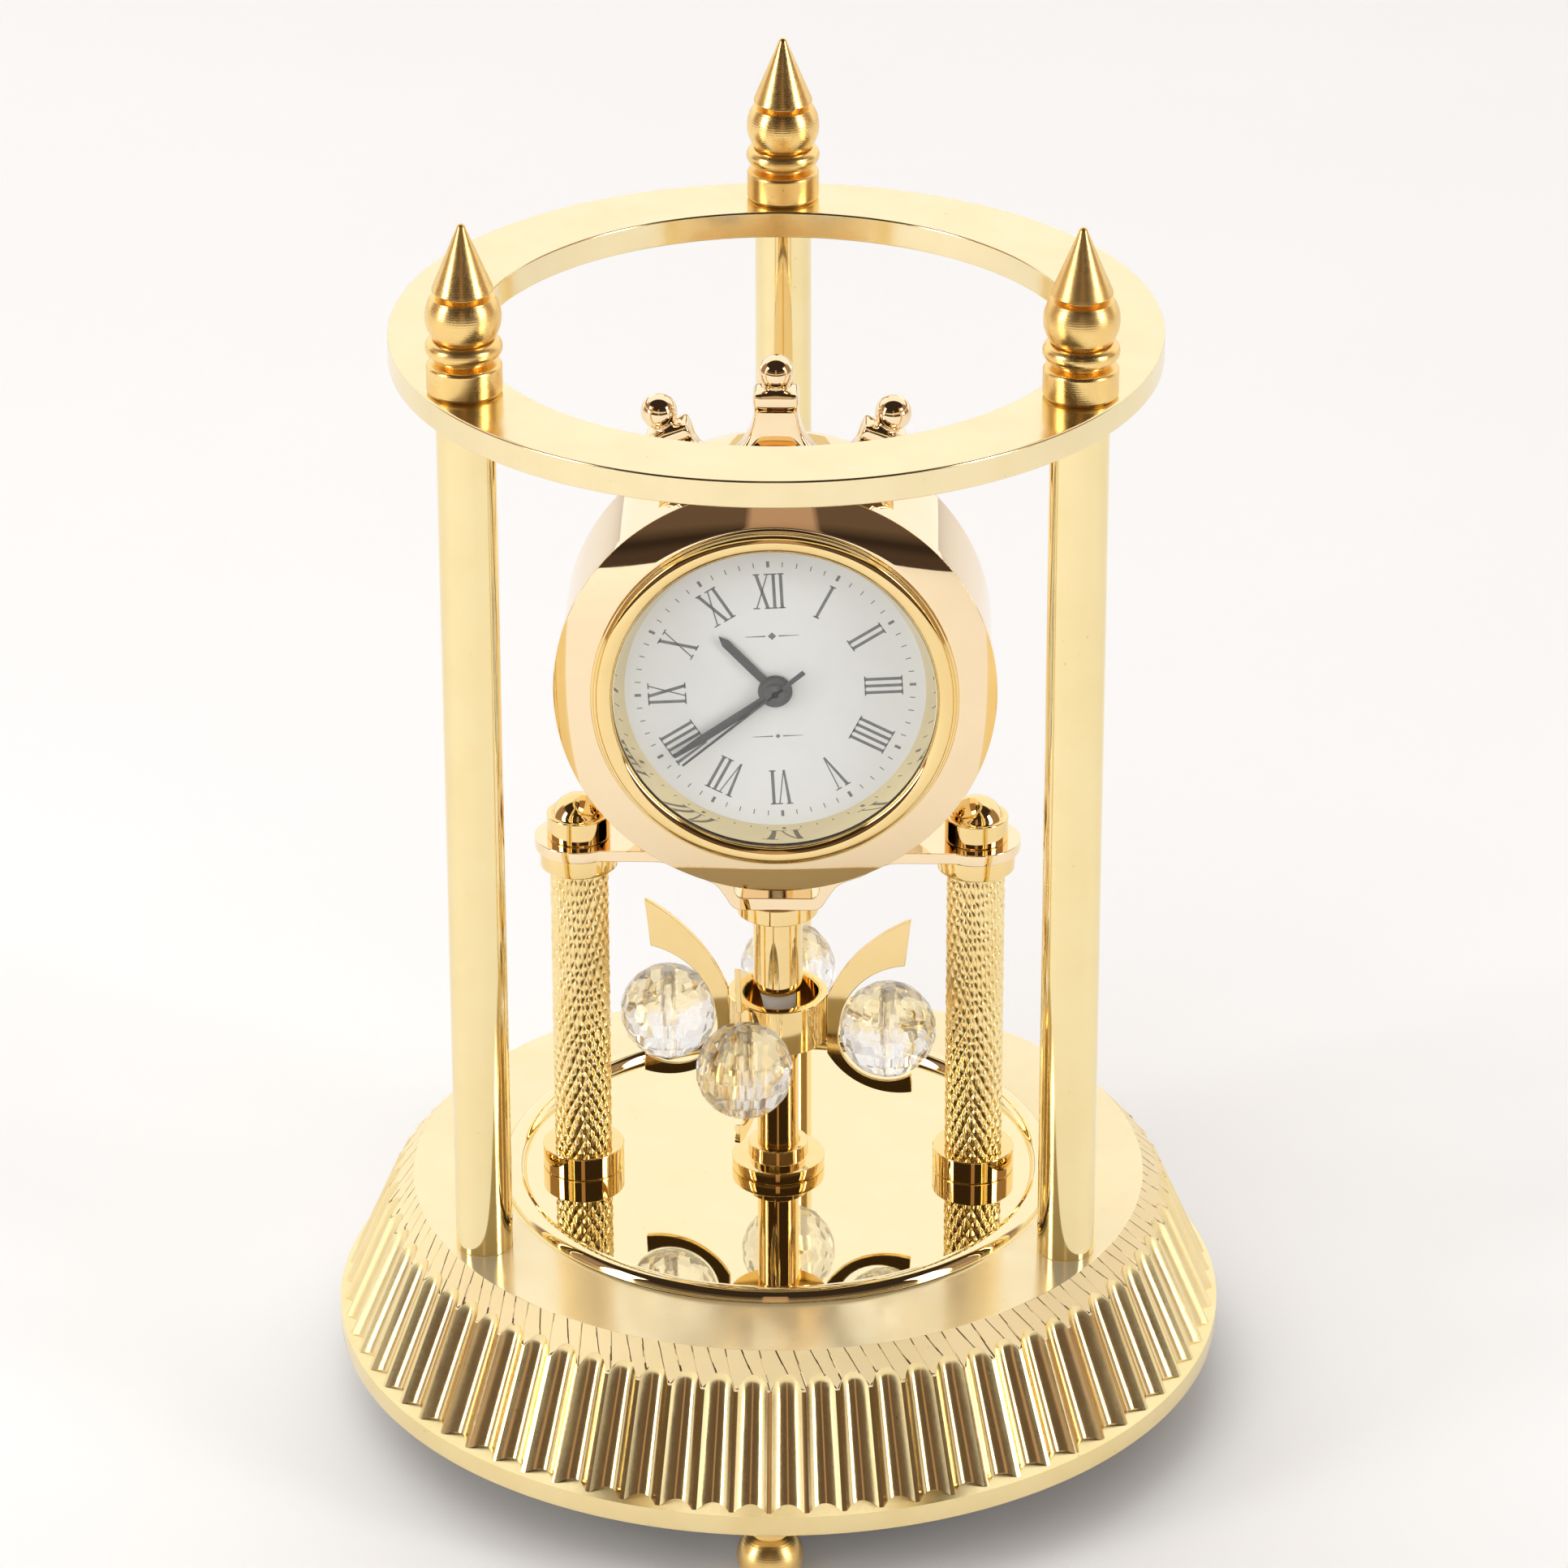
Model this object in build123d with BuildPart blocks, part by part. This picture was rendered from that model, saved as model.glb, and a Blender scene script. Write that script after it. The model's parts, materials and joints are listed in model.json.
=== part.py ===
from build123d import *
from math import cos, radians, sin, sqrt
import os

# Miniature anniversary clock: a round fluted base on ball feet, a cage of three posts and
# a ring, a round head with a quartz insert, and a spinning pendulum of four crystals.
# Millimetres, +Z up, the dial looks along -Y, origin on the table under the centre.

# ---- driving dimensions ----
# base
BASE_TOP = 24.7
LIP_BOTTOM = 7.7
LIP_RADIUS = 46.75
SHOULDER_RADIUS = 46.3
SHOULDER_Z = 10.1
FLANK_TOP_RADIUS = 41.35
FLANK_TOP_Z = 21.6
TOP_RADIUS = 38.6
FLUTES = 76
FLUTE_DEPTH = 0.95
SHELL_WALL = 3.0
BEAD_RADIUS = 28.0
BEAD_SECTION = 1.15
COVER_TOP = 9.2
COVER_RADIUS = 44.5
COVER_LEDGE = 41.5
CAVITY_TOP_RADIUS = 37.6
# feet
FOOT_BALL = 3.4
FOOT_CENTRE = 3.2
FOOT_NECK = 1.9
FOOT_CIRCLE = 43.0
FOOT_STUD = 1.2
FOOT_STUD_REACH = 1.6
# cage
POST_RADIUS = 2.95
POST_CIRCLE = 34.8
RING_BOTTOM = 117.95
RING_TOP = 120.8
RING_OUTER = 38.9
RING_INNER = 30.3
STUD_RADIUS = 1.2
FINIAL_BASE = 3.75
FINIAL_TIP = 138.4
# pillars beside the pendulum
PILLAR_X = 20.6
PILLAR_RADIUS = 3.05
COLLAR_TOP = 27.3
UPPER_COLLAR_BOTTOM = 60.3
ROD_RADIUS = 1.25
# bracket
BRACKET_BOTTOM = 62.4
BRACKET_TOP = 63.65
BRACKET_HALF_WIDTH = 4.0
EAR_RADIUS = 4.6
CUP_BOTTOM = 56.9
CUP_FLOOR = 58.3
# centre column
FLANGE_TOP = 26.1
STEP_TOP = 27.7
LOWER_TUBE_TOP = 40.15
LOWER_TUBE_RADIUS = 2.2
UPPER_TUBE_BOTTOM = 46.0
UPPER_TUBE_RADIUS = 2.58
UPPER_TUBE_TOP = 55.1
SPINDLE_RADIUS = 1.0
# pendulum
HUB_BOTTOM = 40.4
HUB_TOP = 45.5
HUB_RADIUS = 5.25
HUB_BORE = 4.25
PENDULUM_TURN = -9.0
BEAD_CENTRE_RADIUS = 11.7
BEAD_Z = 42.0
CRYSTAL_RADIUS = 5.1
CRYSTAL_BORE = 0.7
CRESCENT_THICK = 0.6
# head
HEAD_Z = 84.35
DRUM_RADIUS = 22.0
DRUM_FRONT = -8.0
DRUM_BACK = 9.0
DRUM_WALL = 1.4
BEZEL_OUTER = 22.5
HEAD_BORE = 17.6
# insert clock, sizes along Y from front to back
INSERT_BEZEL_RADIUS = 18.65
LENS_RADIUS = 16.65
LENS_FRONT = -11.45
LENS_BACK = -10.45
INSERT_SEAT = -10.3
DIAL_FRONT = -8.3
DIAL_BACK = -8.0
DIAL_RADIUS = 16.0
CASE_RADIUS = 16.9
CASE_BACK = -1.5
# hands: clockwise angle from twelve as the dial is seen
HOUR_ANGLE = 316.8
MINUTE_ANGLE = 234.8
SECOND_ANGLE = 229.4
RUNNING_GAP = 0.05

os.makedirs("parts", exist_ok=True)


def save(part, name):
    part.label = name
    export_step(part, f"parts/{name}.step")


def ring_between(radius_in, radius_out, z_low, z_high):
    """A plain ring about Z."""
    with BuildPart() as ring:
        with BuildSketch(Plane.XY.offset(z_low)):
            Circle(radius_out)
            Circle(radius_in, mode=Mode.SUBTRACT)
        extrude(amount=z_high - z_low)
    return ring.part


def face_plane(y):
    """A plane across the dial axis at y: its x is +X, its y is +Z, it looks to the front."""
    return Plane(origin=(0, y, HEAD_Z), x_dir=(1, 0, 0), z_dir=(0, -1, 0))


def dial_ring(radius_in, radius_out, y_front, y_back):
    """A plain ring or disc about the dial axis."""
    with BuildPart() as ring:
        with BuildSketch(face_plane(y_back)):
            Circle(radius_out)
            if radius_in > 0:
                Circle(radius_in, mode=Mode.SUBTRACT)
        extrude(amount=y_back - y_front)
    return ring.part


def turned_on_dial_axis(points):
    """Turn an outline given as (radius, y) about the dial axis."""
    with BuildPart() as body:
        with BuildSketch(Plane(origin=(0, 0, HEAD_Z), x_dir=(1, 0, 0), z_dir=(0, 0, 1))):
            with BuildLine():
                Polyline(*points, close=True)
            make_face()
        revolve(axis=Axis((0, 0, HEAD_Z), (0, 1, 0)))
    return body.part


def on_circle(radius, angle):
    return (radius * cos(radians(angle)), radius * sin(radians(angle)))


FOOT_ANGLES = (-90, 30, 150)
POST_ANGLES = {"left": 210, "right": 330, "rear": 90}

# ================= base =================


def fluted_outline(ridge_radius, depth):
    """A closed outline of concave arcs that meet in sharp ridges on a circle."""
    step = 360 / FLUTES
    with BuildSketch(Plane.XY) as outline:
        with BuildLine():
            for index in range(FLUTES):
                start = on_circle(ridge_radius, -90 + index * step)
                middle = on_circle(ridge_radius - depth, -90 + (index + 0.5) * step)
                end = on_circle(ridge_radius, -90 + (index + 1) * step)
                ThreePointArc(start, middle, end)
        make_face()
    return outline.sketch


# the flutes run out towards the top; the hatched cone and the shoulder trim both ends
flank_slope = (SHOULDER_RADIUS - FLANK_TOP_RADIUS) / (FLANK_TOP_Z - SHOULDER_Z)
FLANK_LOW = 9.5
flute_stations = (
    (FLANK_LOW, FLUTE_DEPTH),
    (21.8, FLUTE_DEPTH * 0.92),
    (22.6, FLUTE_DEPTH * 0.72),
    (23.4, FLUTE_DEPTH * 0.2),
    (BASE_TOP, FLUTE_DEPTH * 0.1),
)
flute_sections = [
    Pos(0, 0, z) * fluted_outline(SHOULDER_RADIUS + flank_slope * (SHOULDER_Z - z), depth)
    for z, depth in flute_stations
]

hatch_slope = (FLANK_TOP_RADIUS - TOP_RADIUS) / (BASE_TOP - FLANK_TOP_Z)
HATCH_REACH = 6.0
SHOULDER_RISE = 0.35
BEAD_FOOT = 0.4

with BuildPart() as base_shell:
    loft([section.face() for section in flute_sections], ruled=True)
    # the cone that carries the hatched band cuts the tops of the flutes to arches
    with BuildSketch(Plane.XZ):
        with BuildLine():
            Polyline(
                (0, FLANK_LOW - 1),
                (LIP_RADIUS + HATCH_REACH, FLANK_LOW - 1),
                (LIP_RADIUS + HATCH_REACH, BASE_TOP - (LIP_RADIUS + HATCH_REACH - TOP_RADIUS) / hatch_slope),
                (TOP_RADIUS, BASE_TOP),
                (0, BASE_TOP),
                close=True,
            )
        make_face()
    revolve(axis=Axis.Z, mode=Mode.INTERSECT)
    # plain lip with a shallow shoulder under the flutes
    with BuildSketch(Plane.XZ):
        with BuildLine():
            Polyline(
                (0, LIP_BOTTOM),
                (LIP_RADIUS, LIP_BOTTOM),
                (LIP_RADIUS, SHOULDER_Z - 0.3),
                (SHOULDER_RADIUS, SHOULDER_Z),
                (SHOULDER_RADIUS - FLUTE_DEPTH - 1, SHOULDER_Z + SHOULDER_RISE * 2),
                (0, SHOULDER_Z + SHOULDER_RISE * 2),
                close=True,
            )
        make_face()
    revolve(axis=Axis.Z)
    # hollow from below, with a ledge for the bottom cover
    with BuildSketch(Plane.XZ):
        with BuildLine():
            Polyline(
                (0, LIP_BOTTOM - 1),
                (COVER_RADIUS + RUNNING_GAP, LIP_BOTTOM - 1),
                (COVER_RADIUS + RUNNING_GAP, COVER_TOP),
                (COVER_LEDGE, COVER_TOP),
                (CAVITY_TOP_RADIUS, BASE_TOP - SHELL_WALL),
                (0, BASE_TOP - SHELL_WALL),
                close=True,
            )
        make_face()
    revolve(axis=Axis.Z, mode=Mode.SUBTRACT)
    # half-round bead on the polished top
    with BuildSketch(Plane.XZ):
        with Locations((BEAD_RADIUS, BASE_TOP)):
            Circle(BEAD_SECTION)
        with Locations((BEAD_RADIUS, BASE_TOP - BEAD_SECTION / 2 - BEAD_FOOT)):
            Rectangle(BEAD_SECTION * 2, BEAD_SECTION, mode=Mode.SUBTRACT)
    revolve(axis=Axis.Z)
    # holes for the post screws, the tie rods and the spindle
    with BuildSketch(Plane.XY.offset(BASE_TOP)):
        with PolarLocations(POST_CIRCLE, 3, start_angle=90):
            Circle(STUD_RADIUS + RUNNING_GAP)
        with Locations((-PILLAR_X, 0), (PILLAR_X, 0)):
            Circle(ROD_RADIUS + RUNNING_GAP)
        Circle(SPINDLE_RADIUS + RUNNING_GAP)
    extrude(amount=-SHELL_WALL - 1, mode=Mode.SUBTRACT)
    # blind holes for the studs of the feet
    with BuildSketch(Plane.XY.offset(COVER_TOP)):
        with PolarLocations(FOOT_CIRCLE, 3, start_angle=FOOT_ANGLES[0]):
            Circle(FOOT_STUD + RUNNING_GAP)
    extrude(amount=FOOT_STUD_REACH + RUNNING_GAP, mode=Mode.SUBTRACT)
save(base_shell.part, "base_shell")

with BuildPart() as bottom_cover:
    with BuildSketch(Plane.XY.offset(LIP_BOTTOM)):
        Circle(COVER_RADIUS)
        with PolarLocations(FOOT_CIRCLE, 3, start_angle=FOOT_ANGLES[0]):
            Circle(FOOT_STUD + RUNNING_GAP, mode=Mode.SUBTRACT)
    extrude(amount=COVER_TOP - LIP_BOTTOM)
save(bottom_cover.part, "bottom_cover")

for name, angle in zip(("foot_front", "foot_right", "foot_left"), FOOT_ANGLES):
    foot_x, foot_y = on_circle(FOOT_CIRCLE, angle)
    with BuildPart() as foot:
        with Locations((foot_x, foot_y, FOOT_CENTRE)):
            Sphere(FOOT_BALL)
        with BuildSketch(Plane.XY.offset(FOOT_CENTRE)):
            with Locations((foot_x, foot_y)):
                Circle(FOOT_NECK)
        extrude(amount=LIP_BOTTOM - FOOT_CENTRE)
        with BuildSketch(Plane.XY.offset(LIP_BOTTOM)):
            with Locations((foot_x, foot_y)):
                Circle(FOOT_STUD)
        extrude(amount=COVER_TOP - LIP_BOTTOM + FOOT_STUD_REACH)
        split(bisect_by=Plane.XY, keep=Keep.TOP)
    save(foot.part, name)

# ================= cage =================
SCREW_REACH = 6.0
SCREW_HEAD = 2.6
HEAD_DEPTH = 1.6
PLATE_UNDERSIDE = BASE_TOP - SHELL_WALL
STUD_REACH = 3.2

for name, angle in POST_ANGLES.items():
    post_x, post_y = on_circle(POST_CIRCLE, angle)
    with BuildPart() as post:
        with BuildSketch(Plane.XY.offset(BASE_TOP)):
            with Locations((post_x, post_y)):
                Circle(POST_RADIUS)
        extrude(amount=RING_BOTTOM - BASE_TOP)
        with BuildSketch(Plane.XY.offset(RING_BOTTOM)):
            with Locations((post_x, post_y)):
                Circle(STUD_RADIUS)
        extrude(amount=RING_TOP - RING_BOTTOM + STUD_REACH)
        with BuildSketch(Plane.XY.offset(BASE_TOP)):
            with Locations((post_x, post_y)):
                Circle(STUD_RADIUS + RUNNING_GAP)
        extrude(amount=SCREW_REACH + 0.5, mode=Mode.SUBTRACT)
    save(post.part, f"post_{name}")

with BuildPart() as post_screws:
    with BuildSketch(Plane.XY.offset(PLATE_UNDERSIDE - HEAD_DEPTH)):
        with PolarLocations(POST_CIRCLE, 3, start_angle=90):
            Circle(SCREW_HEAD)
    extrude(amount=HEAD_DEPTH)
    with BuildSketch(Plane.XY.offset(PLATE_UNDERSIDE)):
        with PolarLocations(POST_CIRCLE, 3, start_angle=90):
            Circle(STUD_RADIUS)
    extrude(amount=SHELL_WALL + SCREW_REACH)
save(post_screws.part, "post_screws")

RING_EDGE = 0.25
with BuildPart() as top_ring:
    with BuildSketch(Plane.XY.offset(RING_BOTTOM)):
        Circle(RING_OUTER)
        Circle(RING_INNER, mode=Mode.SUBTRACT)
    extrude(amount=RING_TOP - RING_BOTTOM)
    chamfer(top_ring.edges(), RING_EDGE)
    with BuildSketch(Plane.XY.offset(RING_BOTTOM)):
        with PolarLocations(POST_CIRCLE, 3, start_angle=90):
            Circle(STUD_RADIUS + RUNNING_GAP)
    extrude(amount=RING_TOP - RING_BOTTOM, mode=Mode.SUBTRACT)
save(top_ring.part, "top_ring")

# finial heights above the ring
FINIAL_SHOULDER = 3.1
FINIAL_ROUND = 0.8
FINIAL_NECK = 2.6
FLANGE_CENTRE = 4.75
FLANGE_HALF = 1.05
FLANGE_REACH = 3.8
BALL_CENTRE = 8.0
BALL_RADIUS = 3.78
BALL_FOOT = 5.8
BALL_CUT = 10.1
SPIRE_NECK = 2.4
SPIRE_BOTTOM = 10.5
SPIRE_RADIUS = 3.0
TIP_RADIUS = 0.5


def ball_half_width(height):
    return sqrt(BALL_RADIUS**2 - (height - BALL_CENTRE) ** 2)


finial_height = FINIAL_TIP - RING_TOP
for name, angle in POST_ANGLES.items():
    finial_x, finial_y = on_circle(POST_CIRCLE, angle)
    with BuildPart() as finial:
        with BuildSketch(Plane(origin=(finial_x, finial_y, RING_TOP), x_dir=(1, 0, 0), z_dir=(0, -1, 0))):
            with BuildLine():
                base_side = Line((FINIAL_BASE, 0), (FINIAL_BASE, FINIAL_SHOULDER - FINIAL_ROUND))
                TangentArc(
                    base_side @ 1,
                    (FINIAL_BASE - FINIAL_ROUND, FINIAL_SHOULDER),
                    tangent=(0, 1),
                )
                Polyline(
                    (FINIAL_BASE - FINIAL_ROUND, FINIAL_SHOULDER),
                    (FINIAL_NECK, FINIAL_SHOULDER),
                    (FINIAL_NECK, FLANGE_CENTRE - FLANGE_HALF),
                    (FLANGE_REACH - FLANGE_HALF, FLANGE_CENTRE - FLANGE_HALF),
                )
                ThreePointArc(
                    (FLANGE_REACH - FLANGE_HALF, FLANGE_CENTRE - FLANGE_HALF),
                    (FLANGE_REACH, FLANGE_CENTRE),
                    (FLANGE_REACH - FLANGE_HALF, FLANGE_CENTRE + FLANGE_HALF),
                )
                Line(
                    (FLANGE_REACH - FLANGE_HALF, FLANGE_CENTRE + FLANGE_HALF),
                    (ball_half_width(BALL_FOOT), BALL_FOOT),
                )
                ThreePointArc(
                    (ball_half_width(BALL_FOOT), BALL_FOOT),
                    (BALL_RADIUS, BALL_CENTRE),
                    (ball_half_width(BALL_CUT), BALL_CUT),
                )
                Polyline(
                    (ball_half_width(BALL_CUT), BALL_CUT),
                    (SPIRE_NECK, BALL_CUT),
                    (SPIRE_NECK, SPIRE_BOTTOM),
                    (SPIRE_RADIUS, SPIRE_BOTTOM),
                    (SPIRE_RADIUS, SPIRE_BOTTOM + 0.3),
                    (TIP_RADIUS, finial_height - TIP_RADIUS),
                )
                TangentArc((TIP_RADIUS, finial_height - TIP_RADIUS), (0, finial_height), tangent=(0, 1))
                Polyline(
                    (0, finial_height),
                    (0, STUD_REACH + 0.2),
                    (STUD_RADIUS + RUNNING_GAP, STUD_REACH + 0.2),
                    (STUD_RADIUS + RUNNING_GAP, 0),
                    (FINIAL_BASE, 0),
                )
            make_face()
        revolve(axis=Axis((finial_x, finial_y, 0), (0, 0, 1)))
    save(finial.part, f"finial_{name}")

# ================= pillars and bracket =================
ROD_BORE = ROD_RADIUS + RUNNING_GAP
ROD_BOTTOM = 19.2
ROD_TOP = 66.6
NUT_RADIUS = 2.6
NUT_HEIGHT = 1.8
LOWER_COLLAR_RADIUS = 4.3
UPPER_COLLAR_RADIUS = 4.05
CAP_RADIUS = 3.3
CAP_SHOULDER = 66.25
CAP_TOP = 68.25
CAP_DOME = 2.75

for name, side in (("left", -1), ("right", 1)):
    with BuildPart() as pillar:
        with BuildSketch(Plane.XY.offset(COLLAR_TOP)):
            with Locations((side * PILLAR_X, 0)):
                Circle(PILLAR_RADIUS)
                Circle(ROD_BORE, mode=Mode.SUBTRACT)
        extrude(amount=UPPER_COLLAR_BOTTOM - COLLAR_TOP)
    save(pillar.part, f"pillar_{name}")

pillar_places = Locations((-PILLAR_X, 0), (PILLAR_X, 0))

with BuildPart() as lower_collars:
    with BuildSketch(Plane.XY.offset(BASE_TOP)):
        with pillar_places:
            Circle(LOWER_COLLAR_RADIUS)
            Circle(ROD_BORE, mode=Mode.SUBTRACT)
    extrude(amount=COLLAR_TOP - BASE_TOP)
save(lower_collars.part, "lower_collars")

with BuildPart() as upper_collars:
    with BuildSketch(Plane.XY.offset(UPPER_COLLAR_BOTTOM)):
        with pillar_places:
            Circle(UPPER_COLLAR_RADIUS)
            Circle(ROD_BORE, mode=Mode.SUBTRACT)
    extrude(amount=BRACKET_BOTTOM - UPPER_COLLAR_BOTTOM)
save(upper_collars.part, "upper_collars")

with BuildPart() as tie_rods:
    with BuildSketch(Plane.XY.offset(ROD_BOTTOM)):
        with pillar_places:
            Circle(ROD_RADIUS)
    extrude(amount=ROD_TOP - ROD_BOTTOM)
save(tie_rods.part, "tie_rods")

with BuildPart() as pillar_nuts:
    with BuildSketch(Plane.XY.offset(PLATE_UNDERSIDE - NUT_HEIGHT)):
        with pillar_places:
            RegularPolygon(NUT_RADIUS, 6)
            Circle(ROD_BORE, mode=Mode.SUBTRACT)
    extrude(amount=NUT_HEIGHT)
save(pillar_nuts.part, "pillar_nuts")

with BuildPart() as cap_nuts:
    for side in (-1, 1):
        with BuildSketch(Plane(origin=(side * PILLAR_X, 0, 0), x_dir=(1, 0, 0), z_dir=(0, -1, 0))):
            with BuildLine():
                Polyline(
                    (0, CAP_TOP),
                    (0, ROD_TOP + 0.2),
                    (ROD_BORE, ROD_TOP + 0.2),
                    (ROD_BORE, BRACKET_TOP),
                    (CAP_RADIUS, BRACKET_TOP),
                    (CAP_RADIUS, CAP_SHOULDER - 0.25),
                    (CAP_RADIUS - 0.25, CAP_SHOULDER),
                    (CAP_DOME, CAP_SHOULDER),
                )
                RadiusArc(
                    (CAP_DOME, CAP_SHOULDER),
                    (0, CAP_TOP),
                    -(CAP_DOME**2 + (CAP_TOP - CAP_SHOULDER) ** 2) / (2 * (CAP_TOP - CAP_SHOULDER)),
                )
            make_face()
        revolve(axis=Axis((side * PILLAR_X, 0, 0), (0, 0, 1)))
save(cap_nuts.part, "cap_nuts")

POCKET_HALF = 4.4
seat_outer = sqrt(DRUM_RADIUS**2 - (HEAD_Z - BRACKET_TOP) ** 2)
seat_middle_x = (seat_outer + POCKET_HALF) / 2


def drum_underside(x):
    return HEAD_Z - sqrt(DRUM_RADIUS**2 - x**2)


with BuildPart() as bracket:
    # cradle: it dips under the round head and leaves a window below it
    with BuildSketch(Plane.XZ):
        with BuildLine():
            Line((0, CUP_FLOOR), (POCKET_HALF - 1, CUP_FLOOR))
            ThreePointArc(
                (POCKET_HALF - 1, CUP_FLOOR),
                (POCKET_HALF - 0.3, CUP_FLOOR + 0.3),
                (POCKET_HALF, CUP_FLOOR + 1),
            )
            Line((POCKET_HALF, CUP_FLOOR + 1), (POCKET_HALF, drum_underside(POCKET_HALF)))
            ThreePointArc(
                (POCKET_HALF, drum_underside(POCKET_HALF)),
                (seat_middle_x, drum_underside(seat_middle_x)),
                (seat_outer, BRACKET_TOP),
            )
            Line((seat_outer, BRACKET_TOP), (PILLAR_X, BRACKET_TOP))
            Line((PILLAR_X, BRACKET_TOP), (PILLAR_X, BRACKET_BOTTOM))
            Line((PILLAR_X, BRACKET_BOTTOM), (12.6, BRACKET_BOTTOM))
            Spline(
                (12.6, BRACKET_BOTTOM),
                (8.6, BRACKET_BOTTOM - 1.6),
                (5.9, BRACKET_BOTTOM - 3.1),
                tangents=((-1, 0), (-0.6, -1)),
            )
            Spline(
                (5.9, BRACKET_BOTTOM - 3.1),
                (5.3, CUP_BOTTOM + 1.5),
                (3.6, CUP_BOTTOM),
                tangents=((-0.6, -1), (-1, 0)),
            )
            Line((3.6, CUP_BOTTOM), (0, CUP_BOTTOM))
            Line((0, CUP_BOTTOM), (0, CUP_FLOOR))
        make_face()
        mirror(about=Plane.YZ)
    extrude(amount=BRACKET_HALF_WIDTH, both=True)
    with BuildSketch(Plane.XY.offset(BRACKET_BOTTOM)):
        with pillar_places:
            Circle(EAR_RADIUS)
    extrude(amount=BRACKET_TOP - BRACKET_BOTTOM)
    with BuildSketch(Plane.XY.offset(BRACKET_BOTTOM)):
        with pillar_places:
            Circle(ROD_BORE)
    extrude(amount=BRACKET_TOP - BRACKET_BOTTOM, mode=Mode.SUBTRACT)
    with BuildSketch(Plane.XY.offset(CUP_BOTTOM)):
        Circle(SPINDLE_RADIUS + RUNNING_GAP)
    extrude(amount=CUP_FLOOR - CUP_BOTTOM, mode=Mode.SUBTRACT)
save(bracket.part, "bracket")

# ================= centre column =================
COLUMN_BORE = SPINDLE_RADIUS + RUNNING_GAP
FLANGE_RADIUS = 4.9
STEP_RADIUS = 3.15
COLUMN_COLLAR_RADIUS = 4.3
SPINDLE_BOTTOM = 19.2
SPINDLE_TOP = 60.8

with BuildPart() as column_flange:
    with BuildSketch(Plane.XY.offset(BASE_TOP)):
        Circle(FLANGE_RADIUS)
        Circle(COLUMN_BORE, mode=Mode.SUBTRACT)
    extrude(amount=FLANGE_TOP - BASE_TOP)
    with BuildSketch(Plane.XY.offset(FLANGE_TOP)):
        Circle(STEP_RADIUS)
        Circle(COLUMN_BORE, mode=Mode.SUBTRACT)
    extrude(amount=STEP_TOP - FLANGE_TOP)
save(column_flange.part, "column_flange")

save(ring_between(COLUMN_BORE, LOWER_TUBE_RADIUS, STEP_TOP, LOWER_TUBE_TOP), "lower_tube")
save(ring_between(COLUMN_BORE, UPPER_TUBE_RADIUS, UPPER_TUBE_BOTTOM, UPPER_TUBE_TOP), "upper_tube")
save(ring_between(COLUMN_BORE, COLUMN_COLLAR_RADIUS, UPPER_TUBE_TOP, CUP_BOTTOM), "column_collar")

with BuildPart() as spindle:
    with BuildSketch(Plane.XY.offset(SPINDLE_BOTTOM)):
        Circle(SPINDLE_RADIUS)
    extrude(amount=SPINDLE_TOP - SPINDLE_BOTTOM)
save(spindle.part, "spindle")

with BuildPart() as spindle_nut:
    with BuildSketch(Plane.XY.offset(PLATE_UNDERSIDE - NUT_HEIGHT)):
        RegularPolygon(NUT_RADIUS, 6)
        Circle(COLUMN_BORE, mode=Mode.SUBTRACT)
    extrude(amount=NUT_HEIGHT)
save(spindle_nut.part, "spindle_nut")

# ================= pendulum =================
HUB_FLOOR = 1.2
BUSH_RADIUS = 1.9
BUSH_BOTTOM = 40.2
BUSH_TOP = 45.9
BUSH_FLANGE = 2.1
CRESCENT_ANGLES = {
    "right": PENDULUM_TURN,
    "rear": PENDULUM_TURN + 95,
    "left": PENDULUM_TURN + 180,
    "front": PENDULUM_TURN - 97,
}

with BuildPart() as pendulum_hub:
    with BuildSketch(Plane.XY.offset(HUB_BOTTOM)):
        Circle(HUB_RADIUS)
    extrude(amount=HUB_TOP - HUB_BOTTOM)
    with BuildSketch(Plane.XY.offset(HUB_BOTTOM + HUB_FLOOR)):
        Circle(HUB_BORE)
    extrude(amount=HUB_TOP - HUB_BOTTOM, mode=Mode.SUBTRACT)
    with BuildSketch(Plane.XY.offset(HUB_BOTTOM)):
        Circle(BUSH_RADIUS + RUNNING_GAP)
    extrude(amount=HUB_FLOOR, mode=Mode.SUBTRACT)
save(pendulum_hub.part, "pendulum_hub")

with BuildPart() as pendulum_bush:
    with BuildSketch(Plane.XY.offset(BUSH_BOTTOM)):
        Circle(BUSH_FLANGE)
    extrude(amount=HUB_BOTTOM - BUSH_BOTTOM)
    with BuildSketch(Plane.XY.offset(HUB_BOTTOM)):
        Circle(BUSH_RADIUS)
    extrude(amount=BUSH_TOP - HUB_BOTTOM)
    with BuildSketch(Plane.XY.offset(BUSH_BOTTOM)):
        Circle(COLUMN_BORE)
    extrude(amount=BUSH_TOP - BUSH_BOTTOM, mode=Mode.SUBTRACT)
save(pendulum_bush.part, "pendulum_bush")


def upright_plane(angle):
    """The upright plane through the centre line that faces across a given heading."""
    heading = radians(angle)
    return Plane(
        origin=(0, 0, 0),
        x_dir=(cos(heading), sin(heading), 0),
        z_dir=(sin(heading), -cos(heading), 0),
    )


# crescent outline as (distance from the centre line, height)
UPPER_ROOT = (HUB_RADIUS, 45.3)
UPPER_BULGE = (9.4, 51.7)
UPPER_TIP = (14.1, 55.1)
UPPER_TIP_INNER = (13.5, 49.65)
UPPER_INNER_BULGE = (8.5, 46.8)
WEB = (6.58, 42.0)
LOWER_INNER_BULGE = (8.0, 37.2)
LOWER_TIP_INNER = (14.2, 36.9)
LOWER_TIP = (14.3, 34.8)
LOWER_BULGE = (9.8, 34.95)
LOWER_ROOT = (HUB_RADIUS, 38.7)

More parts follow.
